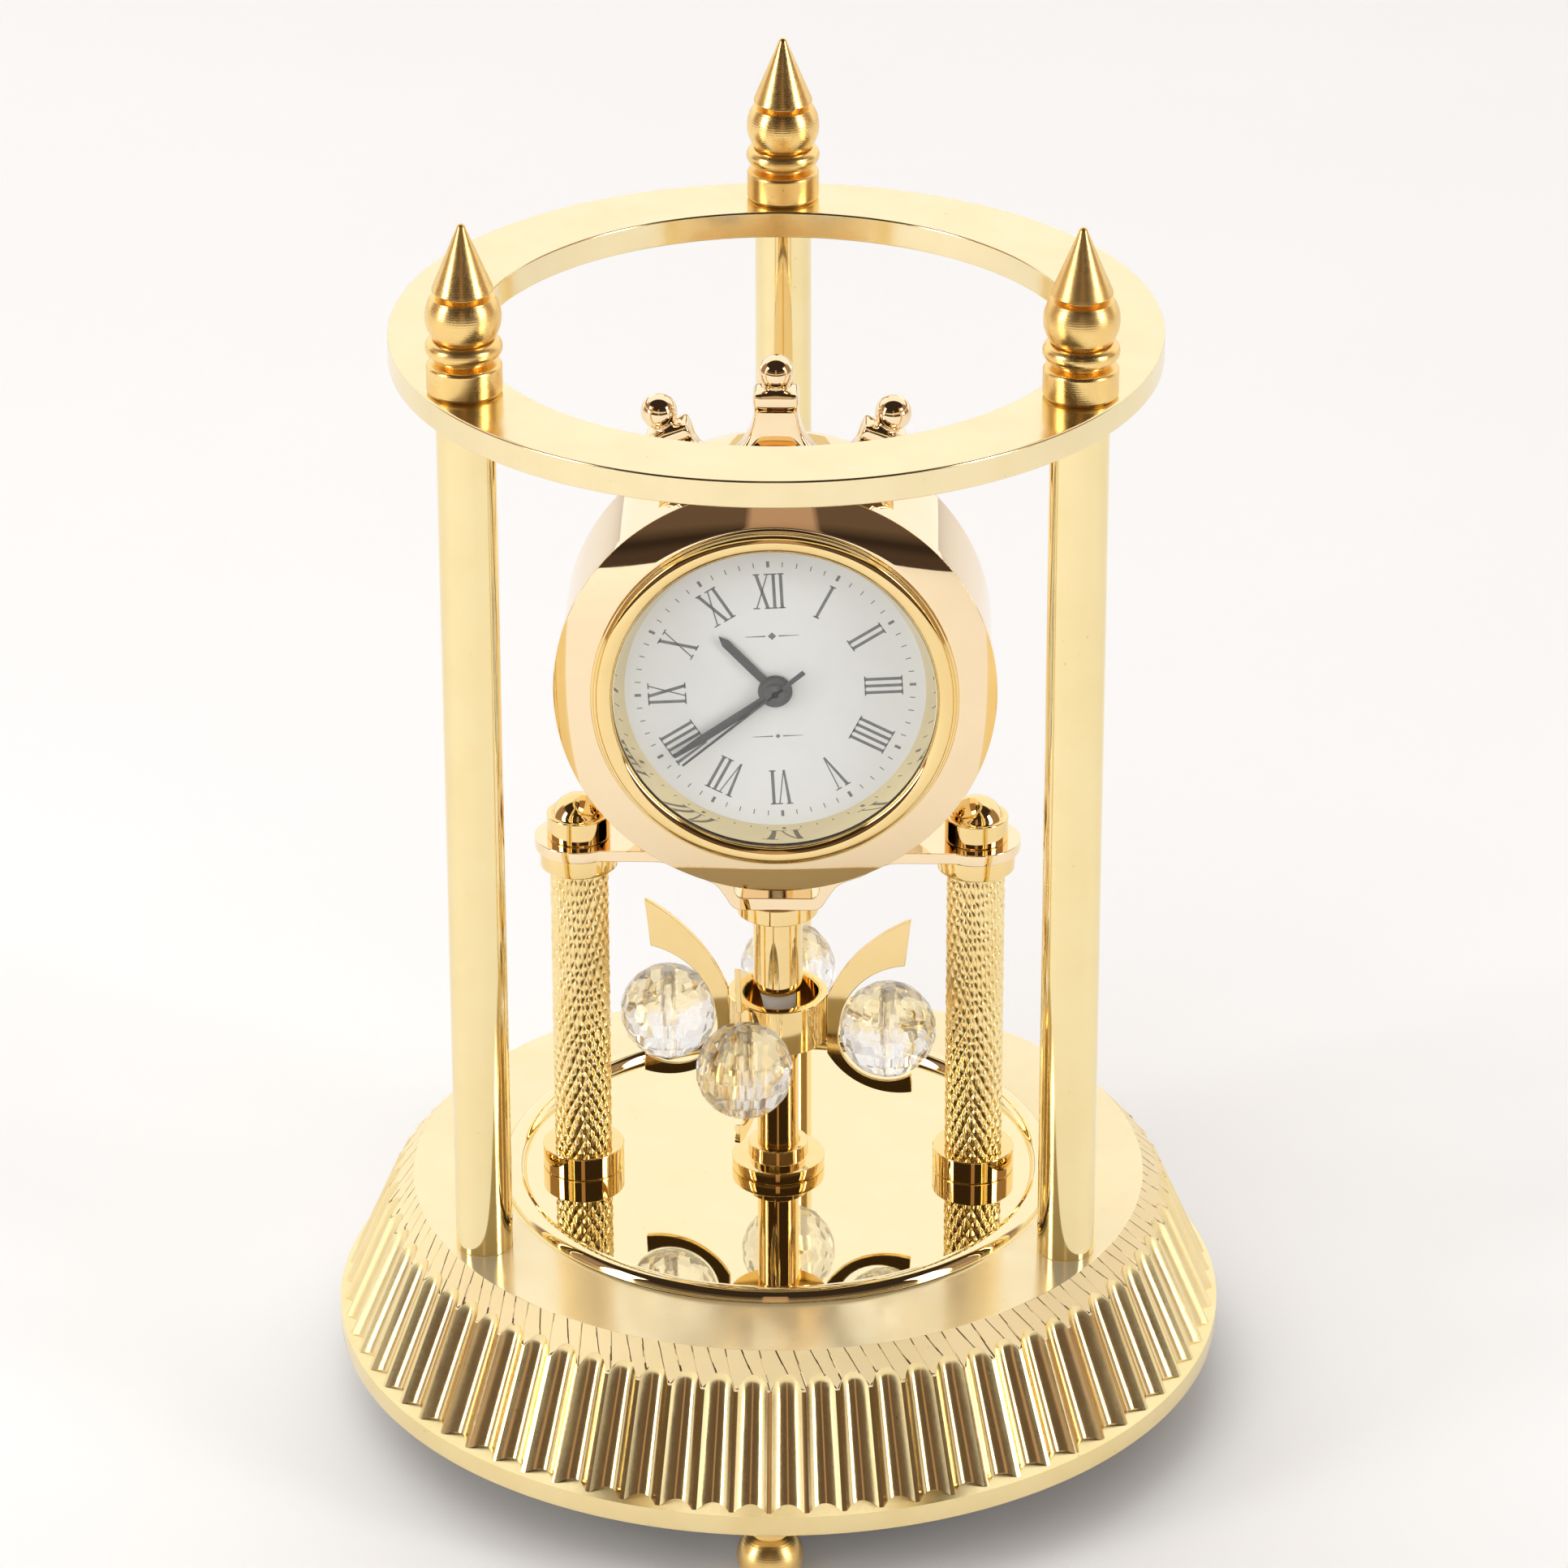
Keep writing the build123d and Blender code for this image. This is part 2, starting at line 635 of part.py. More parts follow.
for name, angle in CRESCENT_ANGLES.items():
    with BuildPart() as crescent:
        with BuildSketch(upright_plane(angle)):
            with BuildLine():
                ThreePointArc(UPPER_ROOT, UPPER_BULGE, UPPER_TIP)
                Line(UPPER_TIP, UPPER_TIP_INNER)
                ThreePointArc(UPPER_TIP_INNER, UPPER_INNER_BULGE, WEB)
                ThreePointArc(WEB, LOWER_INNER_BULGE, LOWER_TIP_INNER)
                Line(LOWER_TIP_INNER, LOWER_TIP)
                ThreePointArc(LOWER_TIP, LOWER_BULGE, LOWER_ROOT)
                Line(LOWER_ROOT, UPPER_ROOT)
            make_face()
        extrude(amount=CRESCENT_THICK / 2, both=True)
    save(crescent.part, f"crescent_{name}")

    crystal_x, crystal_y = on_circle(BEAD_CENTRE_RADIUS, angle)
    with BuildPart() as crystal:
        with Locations((crystal_x, crystal_y, BEAD_Z)):
            Sphere(CRYSTAL_RADIUS)
            Cylinder(CRYSTAL_BORE, CRYSTAL_RADIUS * 3, mode=Mode.SUBTRACT)
    save(crystal.part, f"crystal_{name}")

# ================= head =================
DRUM_ROUND = 2.5
BOSS_RADIUS = 2.0
SLEEVE_WALL = 1.0
SLEEVE_BACK = -4.5
BEVEL_BACK = -9.2

with BuildPart() as head_drum:
    with BuildSketch(face_plane(DRUM_BACK)):
        Circle(DRUM_RADIUS)
    extrude(amount=DRUM_BACK - DRUM_FRONT)
    fillet(head_drum.faces().sort_by(Axis.Y)[-1].edges(), DRUM_ROUND)
    with BuildSketch(Plane.XY.offset(CUP_FLOOR)):
        Circle(BOSS_RADIUS)
    extrude(amount=HEAD_Z - DRUM_RADIUS - CUP_FLOOR + DRUM_WALL)
    with BuildSketch(face_plane(DRUM_BACK - DRUM_WALL)):
        Circle(DRUM_RADIUS - DRUM_WALL)
    extrude(amount=DRUM_BACK - DRUM_WALL - DRUM_FRONT, mode=Mode.SUBTRACT)
    with BuildSketch(Plane.XY.offset(CUP_FLOOR)):
        Circle(COLUMN_BORE)
    extrude(amount=SPINDLE_TOP - CUP_FLOOR + 0.2, mode=Mode.SUBTRACT)
save(head_drum.part, "head_drum")

head_bezel = turned_on_dial_axis(
    [
        (HEAD_BORE, INSERT_SEAT),
        (INSERT_BEZEL_RADIUS + 0.4, INSERT_SEAT),
        (BEZEL_OUTER, BEVEL_BACK),
        (BEZEL_OUTER, DRUM_FRONT),
        (DRUM_RADIUS - DRUM_WALL - RUNNING_GAP, DRUM_FRONT),
        (DRUM_RADIUS - DRUM_WALL - RUNNING_GAP, DRUM_FRONT + 1.5),
        (HEAD_BORE + SLEEVE_WALL, DRUM_FRONT + 1.5),
        (HEAD_BORE + SLEEVE_WALL, SLEEVE_BACK),
        (HEAD_BORE, SLEEVE_BACK),
    ]
)
save(head_bezel, "head_bezel")

# crown crest: three prongs with balls on a band that hugs the drum
CREST_Y = -1.0
CREST_HALF = 1.5
CREST_CAP_HALF = 1.75
BAND_OUTER = 23.4
BAND_SPREAD = 31
PRONG_FOOT_HALF = 5.0
PRONG_TOP_HALF = 2.25
CAP_HALF = 2.35
CAP_HEIGHT = 1.65
CREST_BALL = 1.85
CREST_NECK = 1.1
crest_plane = Plane(origin=(0, CREST_Y, HEAD_Z), x_dir=(1, 0, 0), z_dir=(0, -1, 0))


def leaned(point, lean):
    """Turn a point of an upright prong about the dial centre."""
    x, y = point
    return (x * cos(lean) + y * sin(lean), y * cos(lean) - x * sin(lean))


with BuildPart() as crown_crest:
    with BuildSketch(crest_plane):
        with BuildLine():
            band_low = CenterArc((0, 0), DRUM_RADIUS, 90 - BAND_SPREAD, 2 * BAND_SPREAD)
            band_high = CenterArc((0, 0), BAND_OUTER, 90 - BAND_SPREAD, 2 * BAND_SPREAD)
            Line(band_low @ 0, band_high @ 0)
            Line(band_low @ 1, band_high @ 1)
        make_face()
    extrude(amount=CREST_HALF, both=True)
    for lean_angle, cap_bottom in ((0, 28.35), (23.3, 26.45), (-23.3, 26.45)):
        lean = radians(lean_angle)
        foot = BAND_OUTER - 0.8
        bend = (foot + cap_bottom) / 2 - 0.6
        cap_top = cap_bottom + CAP_HEIGHT
        ball_centre = cap_top + CREST_BALL - 0.15
        with BuildSketch(crest_plane):
            with BuildLine():
                ThreePointArc(
                    leaned((-PRONG_FOOT_HALF, foot), lean),
                    leaned((-PRONG_TOP_HALF - 0.75, bend), lean),
                    leaned((-PRONG_TOP_HALF, cap_bottom), lean),
                )
                Line(leaned((-PRONG_TOP_HALF, cap_bottom), lean), leaned((PRONG_TOP_HALF, cap_bottom), lean))
                ThreePointArc(
                    leaned((PRONG_TOP_HALF, cap_bottom), lean),
                    leaned((PRONG_TOP_HALF + 0.75, bend), lean),
                    leaned((PRONG_FOOT_HALF, foot), lean),
                )
                Line(leaned((PRONG_FOOT_HALF, foot), lean), leaned((-PRONG_FOOT_HALF, foot), lean))
            make_face()
        extrude(amount=CREST_HALF, both=True)
        with BuildSketch(crest_plane):
            with BuildLine():
                Polyline(
                    leaned((-CAP_HALF, cap_bottom), lean),
                    leaned((CAP_HALF, cap_bottom), lean),
                    leaned((CAP_HALF, cap_top), lean),
                    leaned((-CAP_HALF, cap_top), lean),
                    close=True,
                )
            make_face()
        extrude(amount=CREST_CAP_HALF, both=True)
        ball_x, ball_z = leaned((0, ball_centre), lean)
        neck_x, neck_z = leaned((0, cap_top - 0.3), lean)
        with Locations((ball_x, CREST_Y, HEAD_Z + ball_z)):
            Sphere(CREST_BALL)
        with Locations(Location((neck_x, CREST_Y, HEAD_Z + neck_z), (0, lean_angle, 0))):
            Cylinder(CREST_NECK, 1.0, align=(Align.CENTER, Align.CENTER, Align.MIN))
save(crown_crest.part, "crown_crest")

# ================= insert clock =================
GASKET_FRONT = -9.0
GASKET_BACK = -5.0
GASKET_INNER = CASE_RADIUS + 0.05
BLOCK_RADIUS = 14.5
BLOCK_WALL = 0.8
BLOCK_FRONT = -7.95
BLOCK_BACK = -2.4
CASE_WALL = 0.4
CASE_FRONT = -10.2
KNOB_X = 0.0
KNOB_Z = HEAD_Z - 6.0
STEM_RADIUS = 0.7

insert_bezel = turned_on_dial_axis(
    [
        (LENS_RADIUS + 0.05, INSERT_SEAT),
        (INSERT_BEZEL_RADIUS - 0.2, INSERT_SEAT),
        (INSERT_BEZEL_RADIUS, INSERT_SEAT - 0.2),
        (INSERT_BEZEL_RADIUS, INSERT_SEAT - 0.6),
        (INSERT_BEZEL_RADIUS - 0.7, LENS_FRONT - 0.15),
        (LENS_RADIUS + 0.7, LENS_FRONT - 0.15),
        (LENS_RADIUS + 0.05, LENS_FRONT + 0.25),
    ]
)
save(insert_bezel, "insert_bezel")
save(dial_ring(0, LENS_RADIUS, LENS_FRONT, LENS_BACK), "lens")

rehaut_ring = turned_on_dial_axis(
    [
        (CASE_RADIUS - CASE_WALL - 0.05, LENS_BACK),
        (CASE_RADIUS - CASE_WALL - 0.05, DIAL_FRONT),
        (DIAL_RADIUS - 0.6, DIAL_FRONT),
        (CASE_RADIUS - CASE_WALL - 0.35, LENS_BACK),
    ]
)
save(rehaut_ring, "rehaut_ring")

with BuildPart() as insert_case:
    with BuildSketch(face_plane(CASE_BACK)):
        Circle(CASE_RADIUS)
    extrude(amount=CASE_BACK - CASE_FRONT)
    with BuildSketch(face_plane(CASE_BACK - BLOCK_WALL)):
        Circle(CASE_RADIUS - CASE_WALL)
    extrude(amount=CASE_BACK - BLOCK_WALL - CASE_FRONT, mode=Mode.SUBTRACT)
    with BuildSketch(face_plane(CASE_BACK)):
        with Locations((KNOB_X, KNOB_Z - HEAD_Z)):
            Circle(STEM_RADIUS + RUNNING_GAP)
    extrude(amount=BLOCK_WALL, mode=Mode.SUBTRACT)
save(insert_case.part, "insert_case")

save(dial_ring(GASKET_INNER, HEAD_BORE - RUNNING_GAP, GASKET_FRONT, GASKET_BACK), "insert_gasket")

# pipes of the hands, one inside the other
SECOND_SHAFT = 0.35
MINUTE_BORE = SECOND_SHAFT + RUNNING_GAP
MINUTE_PIPE = 0.8
HOUR_BORE = MINUTE_PIPE + RUNNING_GAP
HOUR_PIPE = 1.25
CENTRE_HOLE = HOUR_PIPE + RUNNING_GAP

save(dial_ring(CENTRE_HOLE, DIAL_RADIUS, DIAL_FRONT, DIAL_BACK), "dial")

with BuildPart() as movement_block:
    with BuildSketch(face_plane(BLOCK_BACK)):
        Circle(BLOCK_RADIUS)
    extrude(amount=BLOCK_BACK - BLOCK_FRONT)
    with BuildSketch(face_plane(BLOCK_BACK)):
        Circle(BLOCK_RADIUS - BLOCK_WALL)
    extrude(amount=BLOCK_BACK - BLOCK_FRONT - BLOCK_WALL, mode=Mode.SUBTRACT)
    with BuildSketch(face_plane(BLOCK_BACK)):
        Circle(CENTRE_HOLE)
    extrude(amount=BLOCK_BACK - BLOCK_FRONT, mode=Mode.SUBTRACT)
save(movement_block.part, "movement_block")

COIL_LENGTH = 11.0
COIL_RADIUS = 1.5
COIL_Z = HEAD_Z + 10.2
COIL_Y = -4.4
with BuildPart() as coil:
    with BuildSketch(Plane(origin=(-COIL_LENGTH / 2, COIL_Y, COIL_Z), x_dir=(0, 1, 0), z_dir=(1, 0, 0))):
        Circle(COIL_RADIUS)
    extrude(amount=COIL_LENGTH)
save(coil.part, "coil")

BATTERY_RADIUS = 3.4
BATTERY_X = -8.2
BATTERY_Z = HEAD_Z - 4.5
with BuildPart() as battery:
    with BuildSketch(face_plane(BLOCK_BACK - 0.1)):
        with Locations((BATTERY_X, BATTERY_Z - HEAD_Z)):
            Circle(BATTERY_RADIUS)
    extrude(amount=2.6)
save(battery.part, "battery")


def wheel_on(x, z, radius, y_front, y_back, bore=0.0):
    """A toothless wheel or pinion about a line along Y."""
    with BuildPart() as wheel:
        with BuildSketch(face_plane(y_back)):
            with Locations((x, z - HEAD_Z)):
                Circle(radius)
                if bore > 0:
                    Circle(bore, mode=Mode.SUBTRACT)
        extrude(amount=y_back - y_front)
    return wheel.part


def hand(pipe_radius, boss_radius, blade_size, y_front, clock_angle):
    """A flat hand on a round boss, pointing at a clockwise angle from twelve."""
    length, tail, width = blade_size
    y_back = y_front + HAND_THICK
    middle = (length - tail) / 2
    turn = radians(clock_angle)
    with BuildPart() as blade:
        with BuildSketch(face_plane(y_back)):
            with Locations(Location((middle * sin(turn), middle * cos(turn)), -clock_angle)):
                Rectangle(width, length + tail)
            Circle(boss_radius)
            if pipe_radius > 0:
                Circle(pipe_radius, mode=Mode.SUBTRACT)
        extrude(amount=y_back - y_front)
    return blade.part


HAND_THICK = 0.2
HOUR_Y = -8.75
MINUTE_Y = -9.15
SECOND_Y = -9.55
# each blade: length from the centre, tail, width
HOUR_BLADE = (8.3, 2.6, 0.95)
MINUTE_BLADE = (12.6, 3.0, 0.85)
SECOND_BLADE = (12.4, 3.9, 0.3)
HOUR_BOSS = 1.8
MINUTE_BOSS = 1.6
SECOND_BOSS = 1.1
save(hand(HOUR_PIPE, HOUR_BOSS, HOUR_BLADE, HOUR_Y, HOUR_ANGLE), "hour_hand")
save(hand(MINUTE_PIPE, MINUTE_BOSS, MINUTE_BLADE, MINUTE_Y, MINUTE_ANGLE), "minute_hand")
save(hand(SECOND_SHAFT, SECOND_BOSS, SECOND_BLADE, SECOND_Y, SECOND_ANGLE), "second_hand")

# motion work: cannon pinion to motion wheel is 1:3, its pinion to the hour wheel 1:4
PITCH_SUM = 5.9
CANNON_RADIUS = PITCH_SUM / 4
MOTION_WHEEL_RADIUS = PITCH_SUM * 3 / 4
MOTION_PINION_RADIUS = PITCH_SUM / 5
HOUR_WHEEL_RADIUS = PITCH_SUM * 4 / 5
HOUR_WHEEL_FRONT = -7.0
HOUR_WHEEL_BACK = -6.7
with BuildPart() as hour_wheel:
    add(wheel_on(0, HEAD_Z, HOUR_WHEEL_RADIUS, HOUR_WHEEL_FRONT, HOUR_WHEEL_BACK, HOUR_BORE))
    add(wheel_on(0, HEAD_Z, HOUR_PIPE, HOUR_Y, HOUR_WHEEL_FRONT, HOUR_BORE))
save(hour_wheel.part, "hour_wheel")

CANNON_FRONT = -6.6
CANNON_BACK = -5.9
CENTRE_WHEEL_RADIUS = 4.0
CENTRE_WHEEL_BACK = -5.2
with BuildPart() as minute_arbor:
    add(wheel_on(0, HEAD_Z, MINUTE_PIPE, MINUTE_Y, CENTRE_WHEEL_BACK, MINUTE_BORE))
    add(wheel_on(0, HEAD_Z, CANNON_RADIUS, CANNON_FRONT, CANNON_BACK, MINUTE_BORE))
    add(wheel_on(0, HEAD_Z, CENTRE_WHEEL_RADIUS, CENTRE_WHEEL_BACK - 0.4, CENTRE_WHEEL_BACK, MINUTE_BORE))
save(minute_arbor.part, "minute_arbor")

SECOND_WHEEL_RADIUS = 3.3
SECOND_WHEEL_FRONT = -4.6
SECOND_WHEEL_BACK = -4.2
with BuildPart() as second_arbor:
    add(wheel_on(0, HEAD_Z, SECOND_SHAFT, SECOND_Y, -2.6))
    add(wheel_on(0, HEAD_Z, SECOND_WHEEL_RADIUS, SECOND_WHEEL_FRONT, SECOND_WHEEL_BACK))
save(second_arbor.part, "second_arbor")

# the setting knob carries the motion wheel and its pinion
KNOB_RADIUS = 2.4
KNOB_THICK = 2.0
with BuildPart() as setting_knob:
    add(wheel_on(KNOB_X, KNOB_Z, STEM_RADIUS, HOUR_WHEEL_FRONT, CASE_BACK + 0.1))
    add(wheel_on(KNOB_X, KNOB_Z, MOTION_PINION_RADIUS, HOUR_WHEEL_FRONT, HOUR_WHEEL_BACK))
    add(wheel_on(KNOB_X, KNOB_Z, MOTION_WHEEL_RADIUS, CANNON_FRONT, CANNON_BACK))
    add(wheel_on(KNOB_X, KNOB_Z, KNOB_RADIUS, CASE_BACK + 0.1, CASE_BACK + 0.1 + KNOB_THICK))
save(setting_knob.part, "setting_knob")

# rotor and the wheel between it and the second wheel
ROTOR_PINION = 0.55
MIDDLE_WHEEL_RADIUS = 2.75
TRAIN_ANGLE = 60
TRAIN_GAP = 0.05
middle_x, middle_rise = on_circle(SECOND_WHEEL_RADIUS + ROTOR_PINION + TRAIN_GAP, TRAIN_ANGLE)
rotor_x, rotor_rise = on_circle(MIDDLE_WHEEL_RADIUS + ROTOR_PINION + TRAIN_GAP, TRAIN_ANGLE)
MIDDLE_Z = HEAD_Z + middle_rise
ROTOR_Z = MIDDLE_Z + rotor_rise
with BuildPart() as intermediate_wheel:
    add(wheel_on(middle_x, MIDDLE_Z, ROTOR_PINION, SECOND_WHEEL_FRONT, SECOND_WHEEL_BACK + 0.3))
    add(wheel_on(middle_x, MIDDLE_Z, MIDDLE_WHEEL_RADIUS, SECOND_WHEEL_BACK + 0.3, SECOND_WHEEL_BACK + 0.7))
save(intermediate_wheel.part, "intermediate_wheel")

with BuildPart() as rotor:
    add(wheel_on(middle_x + rotor_x, ROTOR_Z, ROTOR_PINION, SECOND_WHEEL_BACK + 0.3, SECOND_WHEEL_BACK + 0.8))
    add(wheel_on(middle_x + rotor_x, ROTOR_Z, 1.2, SECOND_WHEEL_BACK + 0.8, SECOND_WHEEL_BACK + 1.6))
save(rotor.part, "rotor")
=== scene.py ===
import json
from math import asin, atan2, cos, degrees, hypot, pi, radians, sin

import bmesh
import bpy
from mathutils import Matrix, Vector


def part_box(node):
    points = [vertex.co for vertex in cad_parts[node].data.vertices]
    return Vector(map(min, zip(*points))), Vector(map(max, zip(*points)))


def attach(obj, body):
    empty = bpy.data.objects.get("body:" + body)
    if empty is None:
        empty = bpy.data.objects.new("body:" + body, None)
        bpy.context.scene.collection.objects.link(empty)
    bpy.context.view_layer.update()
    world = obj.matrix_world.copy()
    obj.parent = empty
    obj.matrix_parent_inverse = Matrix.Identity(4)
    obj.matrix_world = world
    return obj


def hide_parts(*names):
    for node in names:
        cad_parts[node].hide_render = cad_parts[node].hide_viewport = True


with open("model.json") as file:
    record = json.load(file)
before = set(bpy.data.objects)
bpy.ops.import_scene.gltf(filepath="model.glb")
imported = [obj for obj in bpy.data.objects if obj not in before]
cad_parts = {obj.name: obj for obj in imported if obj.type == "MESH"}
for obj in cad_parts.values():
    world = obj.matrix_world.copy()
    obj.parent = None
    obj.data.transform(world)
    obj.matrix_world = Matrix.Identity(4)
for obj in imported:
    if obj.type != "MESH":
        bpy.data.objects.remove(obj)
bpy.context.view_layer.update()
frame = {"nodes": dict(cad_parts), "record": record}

MM = 0.001
NODES = frame["nodes"]


# ------------------------------------------------------------------ places, in millimetres
def low_high(node):
    low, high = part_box(node)
    return low / MM, high / MM


BASE_TOP = low_high("column_flange")[0].z
RING_LOW, RING_HIGH = (v.z for v in low_high("top_ring"))
RING_OUTER = low_high("top_ring")[1].x
BEZEL_R = low_high("head_bezel")[1].x
INSERT_R = low_high("insert_bezel")[1].x
HEAD_Z = low_high("head_bezel")[1].z - BEZEL_R
DIAL_Y = low_high("dial")[0].y
HOUR_Y, MINUTE_Y, SECOND_Y = (low_high(hand + "_hand")[0].y for hand in ("hour", "minute", "second"))


# ------------------------------------------------------------------ mesh helpers
SMOOTH_ANGLE = 32.0
BEVEL_FROM = radians(30)


def even_shading(obj):
    modifier = obj.modifiers.new("even_shading", "WEIGHTED_NORMAL")
    modifier.keep_sharp = True
    modifier.weight = 80


def smooth_to(bm, mesh, smooth_angle):
    """Write the mesh, smooth except along edges sharper than the angle, and free its working copy."""
    bmesh.ops.recalc_face_normals(bm, faces=bm.faces)
    limit = radians(smooth_angle)
    for face in bm.faces:
        face.smooth = True
    for edge in bm.edges:
        edge.smooth = len(edge.link_faces) != 2 or edge.calc_face_angle(0.0) < limit
    bm.to_mesh(mesh)
    bm.free()


def finish_mesh(name, verts, faces, smooth_angle=SMOOTH_ANGLE, weld=True, even=True):
    """A mesh object from points in millimetres, smooth except along its sharp edges."""
    mesh = bpy.data.meshes.new(name)
    mesh.from_pydata([(x * MM, y * MM, z * MM) for x, y, z in verts], [], faces)
    bm = bmesh.new()
    bm.from_mesh(mesh)
    if weld:
        bmesh.ops.remove_doubles(bm, verts=bm.verts, dist=1e-7)
        bmesh.ops.dissolve_degenerate(bm, edges=bm.edges, dist=1e-8)
    smooth_to(bm, mesh, smooth_angle)
    obj = bpy.data.objects.new(name, mesh)
    bpy.context.scene.collection.objects.link(obj)
    if even:
        even_shading(obj)
    return obj


def place(obj, material, body, slot, *nodes):
    obj.data.materials.clear()
    obj.data.materials.append(material)
    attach(obj, body)
    if nodes:
        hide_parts(*nodes)
    return obj


def arc(cx, cy, r, start, end, steps):
    return [
        (cx + r * cos(radians(start + (end - start) * k / steps)),
         cy + r * sin(radians(start + (end - start) * k / steps)))
        for k in range(steps + 1)
    ]


def soften(points, radius, steps=3, closed=True):
    """Round the corners of an outline with small arcs; gentle bends stay as they are."""
    result = []
    count = len(points)
    for i, (x, y) in enumerate(points):
        if not closed and i in (0, count - 1):
            result.append((x, y))
            continue
        px, py = points[i - 1]
        nx, ny = points[(i + 1) % count]
        a = Vector((px - x, py - y))
        b = Vector((nx - x, ny - y))
        if a.length < 1e-6 or b.length < 1e-6:
            continue
        turn = pi - a.angle(b)
        if turn < radians(20):
            result.append((x, y))
            continue
        reach = min(radius * abs(sin(turn / 2) / cos(turn / 2)), a.length * 0.45, b.length * 0.45)
        r = reach / max(abs(sin(turn / 2) / cos(turn / 2)), 1e-6)
        start = Vector((x, y)) + a.normalized() * reach
        end = Vector((x, y)) + b.normalized() * reach
        centre = Vector((x, y)) + (a.normalized() + b.normalized()).normalized() * (r / cos(turn / 2))
        for k in range(steps + 1):
            t = k / steps
            mid = start.lerp(end, t) - centre
            p = centre + mid.normalized() * r
            result.append((p.x, p.y))
    return result


def lathe_data(profile, segments, to_world, closed=True):
    """Rings of a turned shape; profile is (radius, height). A radius near zero closes the end."""
    verts, faces, rings = [], [], []
    for radius, height in profile:
        if radius < 1e-4:
            rings.append([len(verts)] * segments)
            verts.append(to_world(0.0, height, 0.0))
        else:
            ring = []
            for k in range(segments):
                ring.append(len(verts))
                verts.append(to_world(radius, height, 2 * pi * k / segments))
            rings.append(ring)
    pairs = list(zip(rings, rings[1:]))
    if closed:
        pairs.append((rings[-1], rings[0]))
    for low, high in pairs:
        if low[0] == low[1] and high[0] == high[1]:
            continue
        for k in range(segments):
            m = (k + 1) % segments
            quad = []
            for v in (low[k], low[m], high[m], high[k]):
                if v not in quad:
                    quad.append(v)
            if len(quad) > 2:
                faces.append(quad)
    return verts, faces


def about_z(cx=0.0, cy=0.0):
    return lambda r, h, a: (cx + r * cos(a), cy + r * sin(a), h)


def about_dial(r, h, a):
    return (r * sin(a), h, HEAD_Z + r * cos(a))


def lathe(name, profile, segments=96, frames=None, closed=True, smooth_angle=SMOOTH_ANGLE):
    """One object with the same turned shape in one or more places."""
    verts, faces = [], []
    for to_world in frames or [about_z()]:
        new_verts, new_faces = lathe_data(profile, segments, to_world, closed)
        faces += [[i + len(verts) for i in face] for face in new_faces]
        verts += new_verts
    return finish_mesh(name, verts, faces, smooth_angle)


def refined(name, node, bevel, segments=3):
    """A CAD node's mesh, cleaned, with its edges rounded."""
    mesh = NODES[node].data.copy()
    mesh.name = name
    bm = bmesh.new()
    bm.from_mesh(mesh)
    bmesh.ops.remove_doubles(bm, verts=bm.verts, dist=1e-7)
    bmesh.ops.dissolve_limit(
        bm, angle_limit=radians(0.6), verts=bm.verts, edges=bm.edges, use_dissolve_boundaries=False
    )
    sharp = [e for e in bm.edges if len(e.link_faces) == 2 and e.calc_face_angle(0.0) > BEVEL_FROM]
    bmesh.ops.bevel(
        bm, geom=sharp, offset=bevel * MM, offset_type="OFFSET", segments=segments, profile=0.5,
        affect="EDGES", clamp_overlap=True, miter_outer="ARC",
    )
    smooth_to(bm, mesh, SMOOTH_ANGLE)
    while mesh.materials:
        mesh.materials.pop()
    obj = bpy.data.objects.new(name, mesh)
    bpy.context.scene.collection.objects.link(obj)
    even_shading(obj)
    return obj


def cast(name, node, voxel, rounds):
    """A CAD node's shape with soft cast edges: remeshed finely, then smoothed."""
    mesh = NODES[node].data.copy()
    mesh.name = name
    while mesh.materials:
        mesh.materials.pop()
    obj = bpy.data.objects.new(name, mesh)
    bpy.context.scene.collection.objects.link(obj)
    fuse = obj.modifiers.new("fuse", "REMESH")
    fuse.mode = "VOXEL"
    fuse.voxel_size = voxel * MM
    fuse.use_smooth_shade = True
    relax = obj.modifiers.new("relax", "SMOOTH")
    relax.factor = 0.5
    relax.iterations = rounds
    return obj


def prism_data(outline, y_front, y_back, verts, faces):
    """A thin plate parallel to the dial; the outline is (x, z) in millimetres."""
    first = len(verts)
    count = len(outline)
    for x, z in outline:
        verts.append((x, y_front, z))
    for x, z in outline:
        verts.append((x, y_back, z))
    faces.append(list(range(first, first + count)))
    faces.append(list(range(first + 2 * count - 1, first + count - 1, -1)))
    for k in range(count):
        m = (k + 1) % count
        faces.append([first + k, first + m, first + count + m, first + count + k])


# ------------------------------------------------------------------ materials
def new_material(name):
    material = bpy.data.materials.new(name)
    material.use_nodes = True
    nodes, links = material.node_tree.nodes, material.node_tree.links
    return material, nodes, links, nodes["Principled BSDF"]


def add_node(nodes, kind, **values):
    node = nodes.new(kind)
    for key, value in values.items():
        if hasattr(node, key):
            setattr(node, key, value)
        else:
            node.inputs[key].default_value = value
    return node


def ramp(nodes, links, source, low, high, from_low, from_high):
    """Map a factor between two values."""
    node = nodes.new("ShaderNodeMapRange")
    node.inputs["From Min"].default_value = from_low
    node.inputs["From Max"].default_value = from_high
    node.inputs["To Min"].default_value = low
    node.inputs["To Max"].default_value = high
    links.new(source, node.inputs["Value"])
    return node.outputs["Result"]


